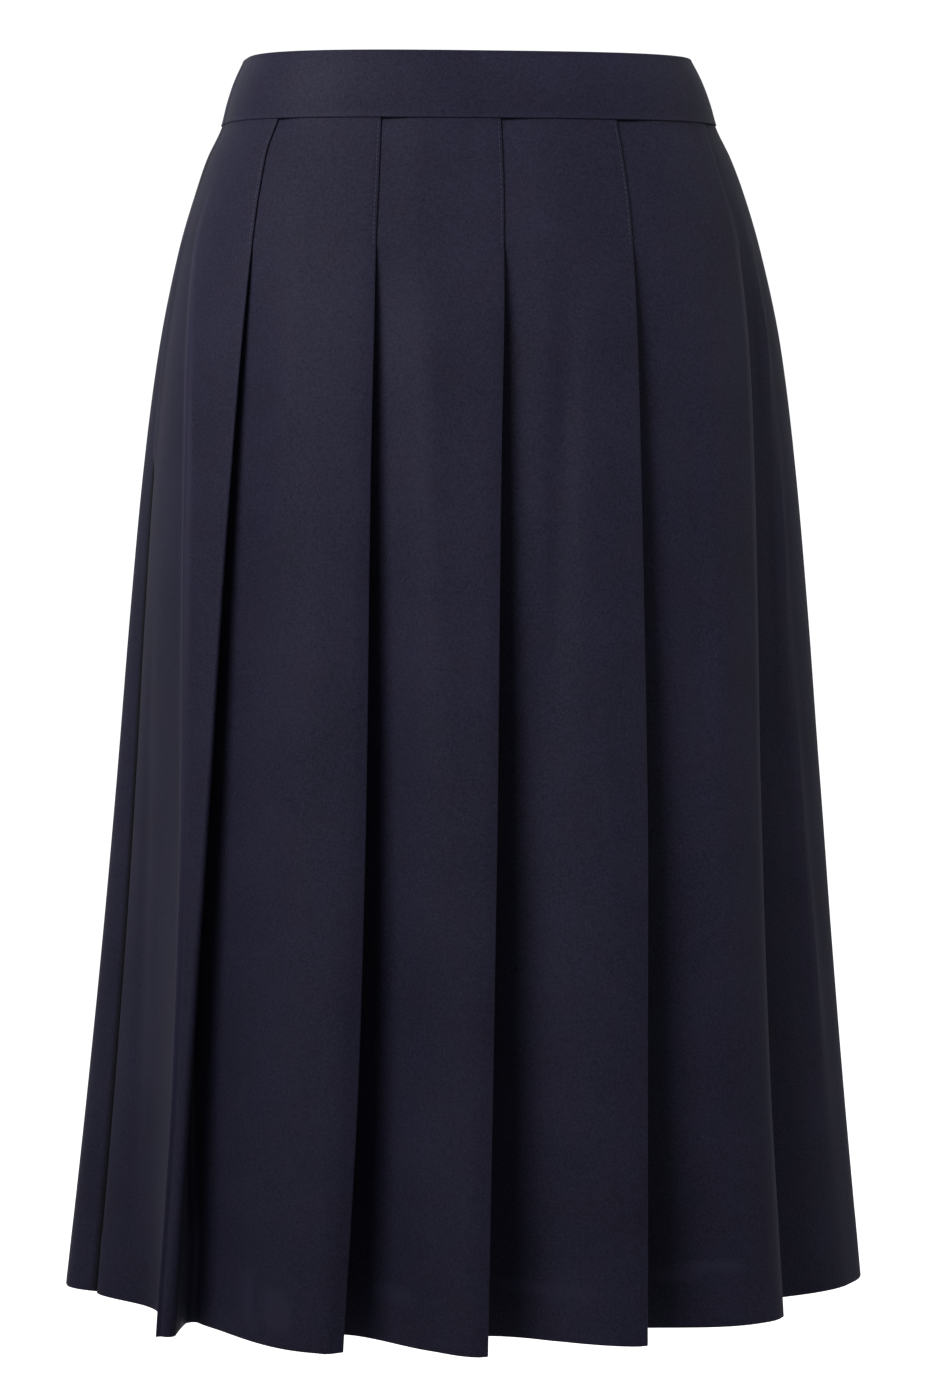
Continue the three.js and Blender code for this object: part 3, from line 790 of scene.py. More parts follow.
def count_triangles(piece):
    """Triangles of a piece with its modifiers."""
    mesh = piece.evaluated_get(bpy.context.evaluated_depsgraph_get()).to_mesh()
    mesh.calc_loop_triangles()
    return len(mesh.loop_triangles)


unit_square = np.array([[(0, 0, 0), (1, 0, 0)], [(0, 1, 0), (1, 1, 0)]]) / MM
print("area of a square metre:", grid_area(unit_square))

# %% [markdown]
# ## Building node trees
# Nodes can be joined by hand in the shader editor. A script that does it can be read from top
# to bottom, and five helpers keep it short: a group with named sockets, any node with its
# inputs joined, a step of arithmetic, a mix of two colours, and a new material.

# %% Node helpers
def new_group(name, inputs, outputs):
    """A shader node group with named number or colour sockets."""
    group = bpy.data.node_groups.new(name, "ShaderNodeTree")
    for socket, kind, value in inputs:
        made = group.interface.new_socket(socket, in_out="INPUT", socket_type=kind)
        made.default_value = value
    for socket, kind in outputs:
        group.interface.new_socket(socket, in_out="OUTPUT", socket_type=kind)
    return group, group.nodes.new("NodeGroupInput"), group.nodes.new("NodeGroupOutput")


def node(tree, kind, inputs=None, **settings):
    """A node with its settings, and values or links for its inputs."""
    made = tree.nodes.new(kind)
    for setting, value in settings.items():
        setattr(made, setting, value)
    for socket, value in (inputs or {}).items():
        if isinstance(value, bpy.types.NodeSocket):
            tree.links.new(value, made.inputs[socket])
        else:
            made.inputs[socket].default_value = value
    return made


def maths(tree, operation, *values):
    """One math node's result."""
    return node(tree, "ShaderNodeMath", dict(enumerate(values)), operation=operation).outputs[0]


def colour_mix(tree, share, first, second, blend="MIX"):
    """Two colours mixed by a share from 0 to 1, or multiplied where blend says so."""
    inputs = {0: share, 6: first, 7: second}
    return node(tree, "ShaderNodeMix", inputs, data_type="RGBA", blend_type=blend).outputs[2]


def new_material(name):
    """A material with its node tree and its Principled shader."""
    material = bpy.data.materials.new(name)
    material.use_nodes = True
    tree = material.node_tree
    return material, tree, tree.nodes["Principled BSDF"]


helpers = (new_group, node, maths, colour_mix, new_material)
print("node helpers:", ", ".join(helper.__name__ for helper in helpers))

# %% [markdown]
# ## Weave
# The cloth is a fine plain-weave suiting: each thread goes over one and under one. A photo of
# cloth would show its tiling and its own light, so a node group draws the weave from the UV
# map. Two waves, one across and one down, make the two sets of threads, and the sign of their
# product says which of them is on top. A noise that is long along the threads makes some a
# little thicker than their neighbours. The group gives a height for the bump and a value for
# the colour, and each material sets its own pitch.

# %% The weave group
ACROSS_THREADS = 1500.0
ALONG_THREADS = 160.0
SLUB_DETAIL = 2.0


def slub_noise(group, where, scale):
    """Noise over the UV map, stretched by its two scales so that it follows one thread."""
    stretched = node(group, "ShaderNodeMapping", {"Vector": where, "Scale": scale}).outputs[0]
    inputs = {"Vector": stretched, "Scale": 1.0, "Detail": SLUB_DETAIL}
    return node(group, "ShaderNodeTexNoise", inputs).outputs[0]


def make_weave():
    """Height and thread value of a plain weave, from the UV in metres and a thread pitch. The
    height is |sin| of whichever thread is on top, plus the slubs."""
    number = "NodeSocketFloat"
    group, taken, given = new_group(
        "plain weave",
        [("Pitch", number, 0.0005), ("Unevenness", number, 0.6)],
        [("Height", number), ("Thread", number)],
    )
    where = node(group, "ShaderNodeUVMap", uv_map="cloth").outputs["UV"]
    split = node(group, "ShaderNodeSeparateXYZ", {0: where})
    turns = maths(group, "DIVIDE", math.pi, taken.outputs["Pitch"])
    warp = maths(group, "SINE", maths(group, "MULTIPLY", split.outputs["X"], turns))
    weft = maths(group, "SINE", maths(group, "MULTIPLY", split.outputs["Y"], turns))
    on_top = maths(group, "GREATER_THAN", maths(group, "MULTIPLY", warp, weft), 0.0)
    warp_round = maths(group, "ABSOLUTE", warp)
    weft_round = maths(group, "ABSOLUTE", weft)
    height = node(
        group, "ShaderNodeMix", {0: on_top, 2: warp_round, 3: weft_round}, data_type="FLOAT"
    ).outputs[0]
    warp_slub = slub_noise(group, where, (ACROSS_THREADS, ALONG_THREADS, 1.0))
    weft_slub = slub_noise(group, where, (ALONG_THREADS, ACROSS_THREADS, 1.0))
    slub = maths(group, "ADD", warp_slub, weft_slub)
    slub = maths(group, "MULTIPLY", maths(group, "SUBTRACT", slub, 1.0), taken.outputs["Unevenness"])
    group.links.new(maths(group, "ADD", height, slub), given.inputs["Height"])
    group.links.new(maths(group, "ADD", slub, 0.5), given.inputs["Thread"])
    return group


WEAVE = make_weave()
print("weave group sockets:", [s.name for s in WEAVE.interface.items_tree])

# %% [markdown]
# ## The cloth's finish
# Navy suiting is nearly black in its folds and a soft blue grey where light grazes it. One
# flat colour would look like plastic. Here the base colour goes from a dark to a lighter navy
# with the threads, with a fine melange grain and with slow clouds, and a second noise turns
# it a little cooler or warmer. A weak sheen stands for the fuzz of the yarn. Two attributes
# of the mesh help. Where an iron has pressed the cloth it is smoother, and its colour is
# painted lighter there as a highlight. Where cloth lies close on cloth the colour is painted
# nearly black as shade, as too little light gets in.

# %% Cloth colours and weights
# pressed places: the cloth is smoother there, and its colour is painted lighter as a highlight
PRESSED_AND_HIGHLIGHT = "pressed"
SHADED = "shaded"
NAVY_DARK = (0.0104, 0.0099, 0.0226, 1)
NAVY_LIGHT = (0.0215, 0.0204, 0.0422, 1)
COOLER = (0.96, 1.03, 1.05, 1)
WARMER = (1.04, 0.97, 0.95, 1)
DEEP_SHADE = (0.0006, 0.0005, 0.001, 1)
SHEEN_COLOUR = (0.75, 0.78, 1.0, 1)
THREAD_PITCH = 0.00055
CLOUD_NOISE = {"Scale": 14.0, "Detail": 6.0}
GRAIN_NOISE = {"Scale": 800.0, "Detail": 3.0}
WARMTH_NOISE = {"Scale": 45.0, "Detail": 8.0}
GRAIN_WEIGHT = 2.4
# how much the painted highlight on pressed places lightens the colour
PRESSED_AND_HIGHLIGHT_WEIGHT = 1.6
TONE_MIDDLE = 1.7
WARMTH_CONTRAST = 3.0
PRESSED_SMOOTHING = 0.12
GRAIN_RELIEF = 0.8
RELIEF_DEPTH = 0.0001
SPECULAR_LEVEL = 0.1
SHEEN_WEIGHT = 0.05
SHEEN_ROUGHNESS = 0.45
print("threads to a centimetre:", round(0.01 / THREAD_PITCH))

# %% [markdown]
# ## The cloth material
# One function makes both cloths, for the panels and for the band, which is pressed firmer and
# so is a little smoother. The weave goes into colour and bump by way of the group. Object
# coordinates carry the noises, so they stay on the cloth wherever the piece stands.

# %% Cloth material
def cloth_tone(tree, place, thread, grain):
    """Share of the lighter navy: threads, grain, clouds and pressed places, added up with their
    weights. The pressed places are painted lighter as a highlight. Their strength is given
    too, because it also makes the cloth smoother."""
    clouds = node(tree, "ShaderNodeTexNoise", {"Vector": place, **CLOUD_NOISE}).outputs[0]
    # painted highlight: the pressed places' mask makes the colour lighter
    pressed = node(tree, "ShaderNodeAttribute", attribute_name=PRESSED_AND_HIGHLIGHT).outputs["Fac"]
    tone = maths(tree, "ADD", thread, maths(tree, "MULTIPLY", grain, GRAIN_WEIGHT))
    tone = maths(tree, "ADD", tone, clouds)
    tone = maths(tree, "ADD", tone, maths(tree, "MULTIPLY", pressed, PRESSED_AND_HIGHLIGHT_WEIGHT))
    return maths(tree, "SUBTRACT", tone, TONE_MIDDLE), pressed


def cloth_colour(tree, place, tone):
    """The navy of a tone, times a tint that wanders from cool to warm, and near black where
    the mesh is shaded."""
    navy = colour_mix(tree, tone, NAVY_DARK, NAVY_LIGHT)
    warmth = node(tree, "ShaderNodeTexNoise", {"Vector": place, **WARMTH_NOISE}).outputs[0]
    warm = maths(tree, "SUBTRACT", maths(tree, "MULTIPLY", warmth, WARMTH_CONTRAST), 1.0)
    tinted = colour_mix(tree, 1.0, navy, colour_mix(tree, warm, COOLER, WARMER), "MULTIPLY")
    # painted shade: the colour turns nearly black where the mesh is marked as shaded
    shade = node(tree, "ShaderNodeAttribute", attribute_name=SHADED).outputs["Fac"]
    return colour_mix(tree, shade, tinted, DEEP_SHADE)


def cloth_material(name, bump, roughness):
    """A woven cloth. Its pressed places are smoother than the rest and painted lighter, as a highlight.
    """
    material, tree, shader = new_material(name)
    weave = node(tree, "ShaderNodeGroup", node_tree=WEAVE)
    weave.inputs["Pitch"].default_value = THREAD_PITCH
    place = node(tree, "ShaderNodeTexCoord").outputs["Object"]
    grain = node(tree, "ShaderNodeTexNoise", {"Vector": place, **GRAIN_NOISE}).outputs[0]
    tone, pressed = cloth_tone(tree, place, weave.outputs["Thread"], grain)
    tree.links.new(cloth_colour(tree, place, tone), shader.inputs["Base Color"])
    smoother = maths(tree, "MULTIPLY", pressed, PRESSED_SMOOTHING)
    tree.links.new(maths(tree, "SUBTRACT", roughness, smoother), shader.inputs["Roughness"])
    height = maths(tree, "ADD", weave.outputs["Height"], maths(tree, "MULTIPLY", grain, GRAIN_RELIEF))
    relief = {"Height": height, "Strength": bump, "Distance": RELIEF_DEPTH}
    tree.links.new(node(tree, "ShaderNodeBump", relief).outputs[0], shader.inputs["Normal"])
    shader.inputs["Specular IOR Level"].default_value = SPECULAR_LEVEL
    shader.inputs["Sheen Weight"].default_value = SHEEN_WEIGHT
    shader.inputs["Sheen Roughness"].default_value = SHEEN_ROUGHNESS
    shader.inputs["Sheen Tint"].default_value = SHEEN_COLOUR
    return material


suiting = cloth_material("navy suiting", bump=0.35, roughness=0.62)
band_suiting = cloth_material("pressed navy suiting", bump=0.3, roughness=0.58)
print("cloths:", suiting.name, "and", band_suiting.name)


def dress(piece, material, node_name):
    """Gives a piece its finish and its place in the frame."""
    piece.data.materials.append(material)
    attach(piece, "root")
    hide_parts(node_name)
    return piece


# %% [markdown]
# ## Pressed places with painted highlight, and painted shade
# An iron leaves its mark where there is a hard edge under the cloth, and that mark is painted
# lighter, as a highlight. No light reaches the crack between two folds that are sewn together,
# and it is painted as shade. Both could be painted by hand on the mesh.
# Here they are formulas over place and drop, written to the mesh as point attributes, so they
# follow the pleats when a table changes.

# %% Pressed places with painted highlight
# spots near the hem where the cloth is pressed, painted lighter as a highlight
# place from the middle of the panel, drop, half width, half height, strength
FRONT_PRESSED_HIGHLIGHTS = [
    (-139, 698, 8, 10, 0.9),
    (-160, 694, 5, 14, 0.5),
    (-70, 690, 14, 3, 0.5),
    (10, 688, 12, 3, 0.7),
    (36, 690, 14, 2.5, 0.5),
    (110, 686, 12, 3, 0.6),
    (134, 684, 16, 2.5, 0.7),
]
BACK_PRESSED_HIGHLIGHTS = [
    (-120, 690, 12, 3, 0.6),
    (-40, 688, 16, 3, 0.5),
    (52, 692, 9, 9, 0.6),
    (120, 687, 14, 3, 0.6),
]
# painted highlight: a bright line along the soft ridge and the last pleat's edge
PRESSED_HIGHLIGHT_LINE = 2.2
PRESSED_HIGHLIGHT_LINE_WIDTH = 2
PRESSED_HIGHLIGHT_LINE_FROM = 20
PRESSED_HIGHLIGHT_LINE_FULL = 120


def pressed_and_highlight_places(panel, pressed_highlight_spots, place, drop):
    """Strength of pressing, which the material paints as a lighter highlight and a smoother
    finish. A fine line along the soft ridge and the last pleat's edge is a bell
    exp(-(distance / width)^2), and the spots near the hem are flatter bells, with the
    fourth power of both distances."""
    strength = np.zeros(np.broadcast(place, drop).shape)
    # painted highlight: a bright line along the soft ridge and along the last pleat's edge
    for row in (panel.ridge, panel.pleats[-1]):
        distance = (place - through(STATIONS, row.across, drop)) / PRESSED_HIGHLIGHT_LINE_WIDTH
        along = PRESSED_HIGHLIGHT_LINE * ease(PRESSED_HIGHLIGHT_LINE_FROM, PRESSED_HIGHLIGHT_LINE_FULL, drop)
        strength = strength + along * np.exp(-(distance**2))
    for middle, low, half_width, half_height, amount in pressed_highlight_spots:
        spot = ((place - middle) / half_width) ** 4 + ((drop - low) / half_height) ** 4
        strength = strength + amount * np.exp(-spot)
    return strength


print("pressed spots:", len(FRONT_PRESSED_HIGHLIGHTS), "in front and", len(BACK_PRESSED_HIGHLIGHTS), "behind")

# %% [markdown]
# ## Shade in the cracks
# A path tracer darkens a crack by itself, but at the size of a whole skirt it is thinner than
# a pixel and comes out grey. So the hidden sides of the sewn folds and of the side seams are
# painted nearly black in the cloth's colour, as painted shade.

# %% Shaded edges
SHADE_FROM = 0.8
SHADE_TO = 2.05
SHADE_REACH = 0.8
SEAM_COLUMNS = TURN_STEPS + 2
LIT_COLUMNS = 2


def shaded_edges(panel, place, lift, drop):
    """1 where cloth lies so close that no light gets in: on the turned-in edges at both
    seams, and on the underside of each fold as far down as it is stitched. At the first seam
    the top of the round is left out, because it stands proud and is lit. The underside is
    found by how far it lies behind and beside the edge, in fold radii."""
    shade = np.zeros(place.shape)
    shade[:, :SEAM_COLUMNS - LIT_COLUMNS] = 1
    shade[:, -SEAM_COLUMNS:] = 1
    for row in panel.pleats:
        p = pleat_at(row, drop)
        behind = (p.edge_lift - lift) / p.radius
        beside = np.abs(place - p.edge) / p.radius
        under = (behind > SHADE_FROM) & (behind < SHADE_TO) & (beside < SHADE_REACH)
        shade[under & (drop < STITCHED_LENGTH)] = 1
    return shade


def add_attribute(piece, name, values):
    """A value for each vertex, as a point attribute."""
    layer = piece.data.attributes.new(name, "FLOAT", "POINT")
    layer.data.foreach_set("value", values.ravel().astype(np.float32))


sample_shade = shaded_edges(FRONT, *sample, np.array([[0], [STITCHED_LENGTH], [PANEL_LENGTH]]))
print("shaded columns at the seam and at the hem:", sample_shade[[0, -1]].sum(axis=1))

# %% [markdown]
# ## Front and back panels
# Both panels come from the same functions and differ only in their tables. The back is
# worked out as a front and turned half round the axis of the waist, so its pleats are laid
# the same way round the wearer. A mirror would be simpler, but it would lay them the other
# way. A panel is one sheet with its hem, and the solids behind have the same folds in fewer
# steps.

# %% Make the panels
def make_panel(name, panel, spots, node_name):
    """One panel of the skirt with its turned hem."""
    points = panel_points(panel, rows, insets)
    rail = make_rail(rows)
    place, lift = panel_line(panel, rail)
    middle = int(np.argmin(np.abs(place[0])))
    piece = grid_piece(name, points, middle)
    add_attribute(piece, PRESSED_AND_HIGHLIGHT, pressed_and_highlight_places(panel, spots, place, rail.drop))
    add_attribute(piece, SHADED, shaded_edges(panel, place, lift, rail.drop))
    thicken(piece, CLOTH_THICKNESS)
    dress(piece, suiting, node_name)
    print(count_triangles(piece), "triangles")
    return piece


make_panel("front_cloth", FRONT, FRONT_PRESSED_HIGHLIGHTS, "front_panel")
make_panel("back_cloth", BACK, BACK_PRESSED_HIGHLIGHTS, "back_panel")

# %% [markdown]
# ## The waistband
# A waistband is a strip folded lengthwise over a stiffener, so its top edge is a round fold
# and its faces are flat. It starts at the slit, goes all round, steps in behind its own start
# and ends in a lap for the hook. A bevelled curve could be bent to it, but its seams and its
# UV map would need mending. Here a rounded profile is carried along that path: one parameter
# runs along the path and the other round the profile.

# %% Band path and profile
LAP_LENGTH = 34
LAP_CLEARANCE = 2.8
LAP_STEP_LENGTH = 5
BAND_COLUMNS = 330
EDGE_RADIUS = 1.1
BAND_PUFF = 0.25
BAND_FACE_ROWS = 15
BAND_CORNER_STEPS = 5


def band_profile():
    """Drop and distance out of the band's middle, round its section: down the outside, round
    the seam edge, up the inside and over the folded top. Faces swell by a low sine arch."""
    half = BAND_THICKNESS / 2
    down = np.linspace(EDGE_RADIUS, BAND_HEIGHT - EDGE_RADIUS, BAND_FACE_ROWS)
    face = half - BAND_PUFF + BAND_PUFF * np.sin(np.pi * down / BAND_HEIGHT)
    quarter = np.linspace(0, np.pi / 2, BAND_CORNER_STEPS)[1:-1]
    corner_out = half - EDGE_RADIUS + EDGE_RADIUS * np.cos(quarter)
    corner_drop = EDGE_RADIUS * (1 - np.sin(quarter))
    foot_drop = BAND_HEIGHT - corner_drop
    drop = [down, foot_drop, foot_drop[::-1], down[::-1], corner_drop, corner_drop[::-1]]
    out = [face, corner_out, -corner_out[::-1], -face[::-1], -corner_out, corner_out[::-1]]
    return np.concatenate(drop) - BAND_HEIGHT, np.concatenate(out)


def band_path(rail):
    """Place and lift along the band: level with the cloth all round, then a smooth step in
    and a straight lap."""
    share = np.linspace(0, 1, BAND_COLUMNS)[None, :]
    start = -seam_place(rail)
    step_end = start + rail.round - SEAM_GAP
    place = mix(start, step_end + LAP_LENGTH, share)
    lap_lift = -(BAND_THICKNESS + LAP_CLEARANCE)
    return place, lap_lift * ease(step_end - LAP_STEP_LENGTH, step_end, place)


print("points round the band's section:", len(band_profile()[0]))

# %% [markdown]
# ## The band as one tube
# The profile and the path give a grid whose last row meets its first, which is a tube. Its two
# ends are closed with one face each, as the real ends are turned in and sewn.

# %% Make the band
def make_band():
    """The band as a closed tube of cloth with both ends capped."""
    drop, out = band_profile()
    rail = make_rail(drop)
    place, lift = band_path(rail)
    x, y = plan_point(rail, place, lift)
    x, y = moved_in(x, y, -out.reshape(-1, 1))
    points = np.stack([x + rail.centre, y, SEAM_HEIGHT - rail.drop + 0 * x], axis=-1)
    u, v = cloth_lengths(points)
    uv = np.stack([u, -v], axis=-1).reshape(-1, 2) * MM
    count, columns = x.shape
    sides = grid_faces(count, columns, closed=True)
    ring = np.arange(count) * columns
    ends = [ring[::-1].tolist(), (ring + columns - 1).tolist()]
    piece = new_mesh("waistband_cloth", points.reshape(-1, 3) * MM, sides.tolist() + ends, uv)
    return piece, float(u[:, -1].max() * MM)


waistband_cloth, band_length = make_band()
dress(waistband_cloth, band_suiting, "waistband")
print(f"band {band_length:.3f} m long, {count_triangles(waistband_cloth)} triangles")

# %% [markdown]
# ## The underlap strip
# Behind the slit lies a narrow strip, so that nothing shows through when the opening gapes. A
# flat strip would cut through the curved panels. It has to follow them at a small distance,
# so it is worked out from the same seam and trough.

# %% Make the strip
STRIP_REACH = 14
STRIP_CLEARANCE = 2.6
STRIP_ROWS = 70
STRIP_COLUMNS = 15


def strip_points():
    """Points of the strip: the panels' own lift on each side of the seam, moved in by a
    cloth's thickness and the clearance."""
    rail = make_rail(np.linspace(SEAM_GAP, STRIP_LENGTH, STRIP_ROWS))
    opened = growth(rail.drop, OPENING_POWER)
    seam = -seam_place(rail)
    away = np.linspace(-STRIP_REACH, STRIP_REACH, STRIP_COLUMNS)[None, :]
    end = through(STATIONS, FRONT.ridge.across, rail.drop)
    share = away / (end - seam)
    dip = -SEAM_DIP * opened
    forward = mix(dip, FRONT.ridge.stand * opened, share)
    forward = forward + trough_lift(FRONT, np.maximum(share, 0), rail.drop)
    behind = mix(dip, 0, -away / CORNER_REACH)
    lift = np.where(away < 0, behind, forward) - CLOTH_THICKNESS - STRIP_CLEARANCE
    x, y = plan_point(rail, seam + away, lift)
    return np.stack([x + rail.centre, y, height_of(rail, seam + away)], axis=-1)


strip = strip_points()
opening_strip_cloth = thicken(grid_piece("opening_strip_cloth", strip), CLOTH_THICKNESS)
dress(opening_strip_cloth, suiting, "opening_strip")
print("strip:", count_triangles(opening_strip_cloth), "triangles")

# %% [markdown]
# ## Stitching
# Each pleat is edge-stitched for its first few centimetres, a millimetre and a half from its
# fold. A stitch is a short thread that dives into the cloth at both ends, so here it is a
# slim bead, thickest in its middle. Hundreds of objects would be slow to handle, so all the
# stitches of a panel are one mesh, made by adding every stitch's frame to the points of one
# bead. A bead has few faces, because it is smaller than a pixel.

# %% One stitch
STITCH_LENGTH = 2.1
STITCH_PITCH = 2.7
STITCH_RADIUS = 0.17
STITCH_FROM_FOLD = 1.5
BEAD_RINGS = 6
BEAD_SIDES = 6
BEAD_TIP = 0.02


def bead():
    """A six-sided bead of unit length along its first axis and unit radius, nearly pointed at
    both ends: the radius is the square root of a sine. Each end is closed by two faces."""
    t = np.linspace(0, 1, BEAD_RINGS)[:, None]
    angle = np.linspace(0, 2 * np.pi, BEAD_SIDES, endpoint=False)[None, :]
    radius = np.sqrt(np.sin(np.pi * np.clip(t, BEAD_TIP, 1 - BEAD_TIP)))
    points = np.stack([t - 0.5 + 0 * angle, radius * np.cos(angle), radius * np.sin(angle)], -1)
    number = np.arange(BEAD_RINGS * BEAD_SIDES).reshape(BEAD_RINGS, BEAD_SIDES)
    around = np.roll(number, -1, axis=1)
    faces = np.stack([number[:-1], around[:-1], around[1:], number[1:]], -1).reshape(-1, 4)
    first, last = number[0], number[-1]
    caps = [first[[0, 5, 4, 3]], first[[0, 3, 2, 1]], last[[0, 1, 2, 3]], last[[0, 3, 4, 5]]]
    return points.reshape(-1, 3), np.concatenate([faces, caps])


print("faces of a stitch:", len(bead()[1]))

# %% [markdown]
# ## Runs of stitches
# A run follows a pleat's edge, so each stitch needs a frame: where its middle is, which way is
# down the seam and which way is out of the cloth. The same rail that placed the cloth gives
# them, so the thread lies on it everywhere.

# %% Stitch runs
def stitch_frames(panel):
    """Middle, downward way and outward way of every stitch of a panel's pleats."""
    drops = np.arange(STITCH_PITCH, STITCHED_LENGTH, STITCH_PITCH)
    rail = make_rail(drops)
    edges = [pleat_at(row, rail.drop) for row in panel.pleats]
    place = np.concatenate([p.edge - STITCH_FROM_FOLD for p in edges], axis=1)
    lift = np.concatenate([p.edge_lift for p in edges], axis=1) + CLOTH_THICKNESS / 2

    def points(raised):
        """Middles of the stitches, raised out of the cloth."""
        x, y = plan_point(rail, place, lift + raised)
        x, y = panel.sign * x + rail.centre, panel.sign * y
        return np.stack([x, y, height_of(rail, place)], axis=-1)

    middle = points(0)
    down = np.gradient(middle, axis=0)
    down /= np.linalg.norm(down, axis=-1, keepdims=True)
    out = points(1) - middle
    return middle.reshape(-1, 3), down.reshape(-1, 3), out.reshape(-1, 3)


def make_stitches(name, panel, material):
    """All the edge stitches of a panel as one mesh."""
    middle, down, out = stitch_frames(panel)
    side = np.cross(out, down)
    shape, faces = bead()
    points = (
        middle[:, None, :]
        + STITCH_LENGTH * shape[None, :, 0:1] * down[:, None, :]
        + STITCH_RADIUS * shape[None, :, 1:2] * side[:, None, :]
        + STITCH_RADIUS * shape[None, :, 2:3] * out[:, None, :]
    )
    shift = np.arange(len(middle))[:, None, None] * len(shape)
    all_faces = (faces[None] + shift).reshape(-1, 4).tolist()
    piece = new_mesh(name, points.reshape(-1, 3) * MM, all_faces)
    piece.data.materials.append(material)
    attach(piece, "root")
    print(name, len(middle), "stitches,", count_triangles(piece), "triangles")
    return piece


# %% [markdown]
# ## Thread
# The thread matches the cloth, but it is smooth and twisted, so it takes the light as a row of
# small bright dashes. A fine noise does for the twist at this size: it makes a bump, and in the
# colour it paints glints as lighter and darker dashes. Drawing the twist as geometry would
# cost thousands of faces that nobody could see.

# %% Thread and stitches
THREAD_DARK = (0.012, 0.012, 0.026, 1)
THREAD_LIGHT = (0.030, 0.031, 0.058, 1)


def thread_material():
    """Twisted polyester thread, a shade lighter than the cloth, with its twist as a bump and as painted
    glints in its colour.
    """
    material, tree, shader = new_material("navy thread")
    place = node(tree, "ShaderNodeTexCoord").outputs["Object"]
    noise = {"Vector": place, "Scale": 1500.0, "Detail": 1.0}
    twist_and_glint = node(tree, "ShaderNodeTexNoise", noise).outputs[0]
    # painted glint: the twist noise makes lighter and darker dashes in the thread's colour
    tree.links.new(colour_mix(tree, twist_and_glint, THREAD_DARK, THREAD_LIGHT), shader.inputs["Base Color"])
    relief = {"Height": twist_and_glint, "Strength": 0.3, "Distance": RELIEF_DEPTH}
    tree.links.new(node(tree, "ShaderNodeBump", relief).outputs[0], shader.inputs["Normal"])
    shader.inputs["Roughness"].default_value = 0.45
    return material


thread = thread_material()
make_stitches("front_pleat_stitches", FRONT, thread)
make_stitches("back_pleat_stitches", BACK, thread)

# %% [markdown]
# ## Hook and bar
# The flat hook and bar hide between the two ends of the band. Their solids already have the
# true shape, so they keep it and only get a finish: satin nickel, a metal whose roughness
# changes a little over its surface, as stamped wire has. A noise that is squeezed along one
# axis gives the fine brushing.

# %% Metal finish
NICKEL_DARK = (0.4, 0.41, 0.43, 1)
NICKEL_LIGHT = (0.55, 0.55, 0.56, 1)


def nickel_material():
    """Satin nickel. One stretched noise sets both its colour and its roughness."""
    material, tree, shader = new_material("satin nickel")
    place = node(tree, "ShaderNodeTexCoord").outputs["Object"]
    squeezed = {"Vector": place, "Scale": (300.0, 300.0, 3000.0)}
    brushed = node(tree, "ShaderNodeMapping", squeezed).outputs[0]
    noise = {"Vector": brushed, "Scale": 1.0, "Detail": 3.0}
    worn = node(tree, "ShaderNodeTexNoise", noise).outputs[0]
    rough = node(tree, "ShaderNodeMapRange", {0: worn, 3: 0.25, 4: 0.45}).outputs[0]
    tree.links.new(rough, shader.inputs["Roughness"])
    tree.links.new(colour_mix(tree, worn, NICKEL_DARK, NICKEL_LIGHT), shader.inputs["Base Color"])
    shader.inputs["Metallic"].default_value = 1
    return material


satin_nickel = nickel_material()
for name in ("waist_hook", "waist_bar"):
    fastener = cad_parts[name]
    fastener.data.materials.clear()
    fastener.data.materials.append(satin_nickel)
print("hook and bar:", satin_nickel.name)

# %% [markdown]
# ## Floor
# The skirt is shown as a shop shows it, filled out as if worn, cut out on plain white. A white
# sheet close behind it would throw its light back into every pleat. So the floor is where the
# wearer would stand, and it looks white to the camera alone: Light Path tells the material
# whether a ray comes from the camera.

# %% Floor
FLOOR_HEIGHT = -1.04
FLOOR_REACH = 30
FLOOR_SIDES = 64
FLOOR_GLOW = 0.9
PALE = (0.8, 0.8, 0.8, 1)
WHITE = (1, 1, 1, 1)


def make_floor():
    """A round sheet of floor, centred on the axis of the waist. It glows white for the camera
    alone, and for all other rays it is pale paper."""
    angle = np.linspace(0, 2 * np.pi, FLOOR_SIDES, endpoint=False)
    ring = np.stack([FLOOR_REACH * np.cos(angle), FLOOR_REACH * np.sin(angle)], axis=-1)
    points = np.concatenate([ring, np.full((FLOOR_SIDES, 1), FLOOR_HEIGHT)], axis=1)
    mesh = bpy.data.meshes.new("floor")
    mesh.from_pydata(points, [], [list(range(FLOOR_SIDES))])
    floor = bpy.data.objects.new("floor", mesh)
    bpy.context.scene.collection.objects.link(floor)
    material, tree, shader = new_material("pale floor")
    shader.inputs["Base Color"].default_value = PALE
    shader.inputs["Roughness"].default_value = 0.9
    shader.inputs["Specular IOR Level"].default_value = 0.1
    shader.inputs["Emission Color"].default_value = WHITE
    seen = node(tree, "ShaderNodeLightPath").outputs["Is Camera Ray"]
    tree.links.new(maths(tree, "MULTIPLY", seen, FLOOR_GLOW), shader.inputs["Emission Strength"])
    mesh.materials.append(material)
    return floor


print("stage:", make_floor().name)

# %% [markdown]
# ## Lights
# The main light is a large soft panel at the left and a little above, so every pleat throws a
# soft shadow to its right. A narrow spread keeps it off the hem, which is darker than the hips
# in the photograph. A weak panel at the right lifts the last folds. Area lights are used
# because their soft edges are what cloth needs. A sun or a point would cut hard lines.

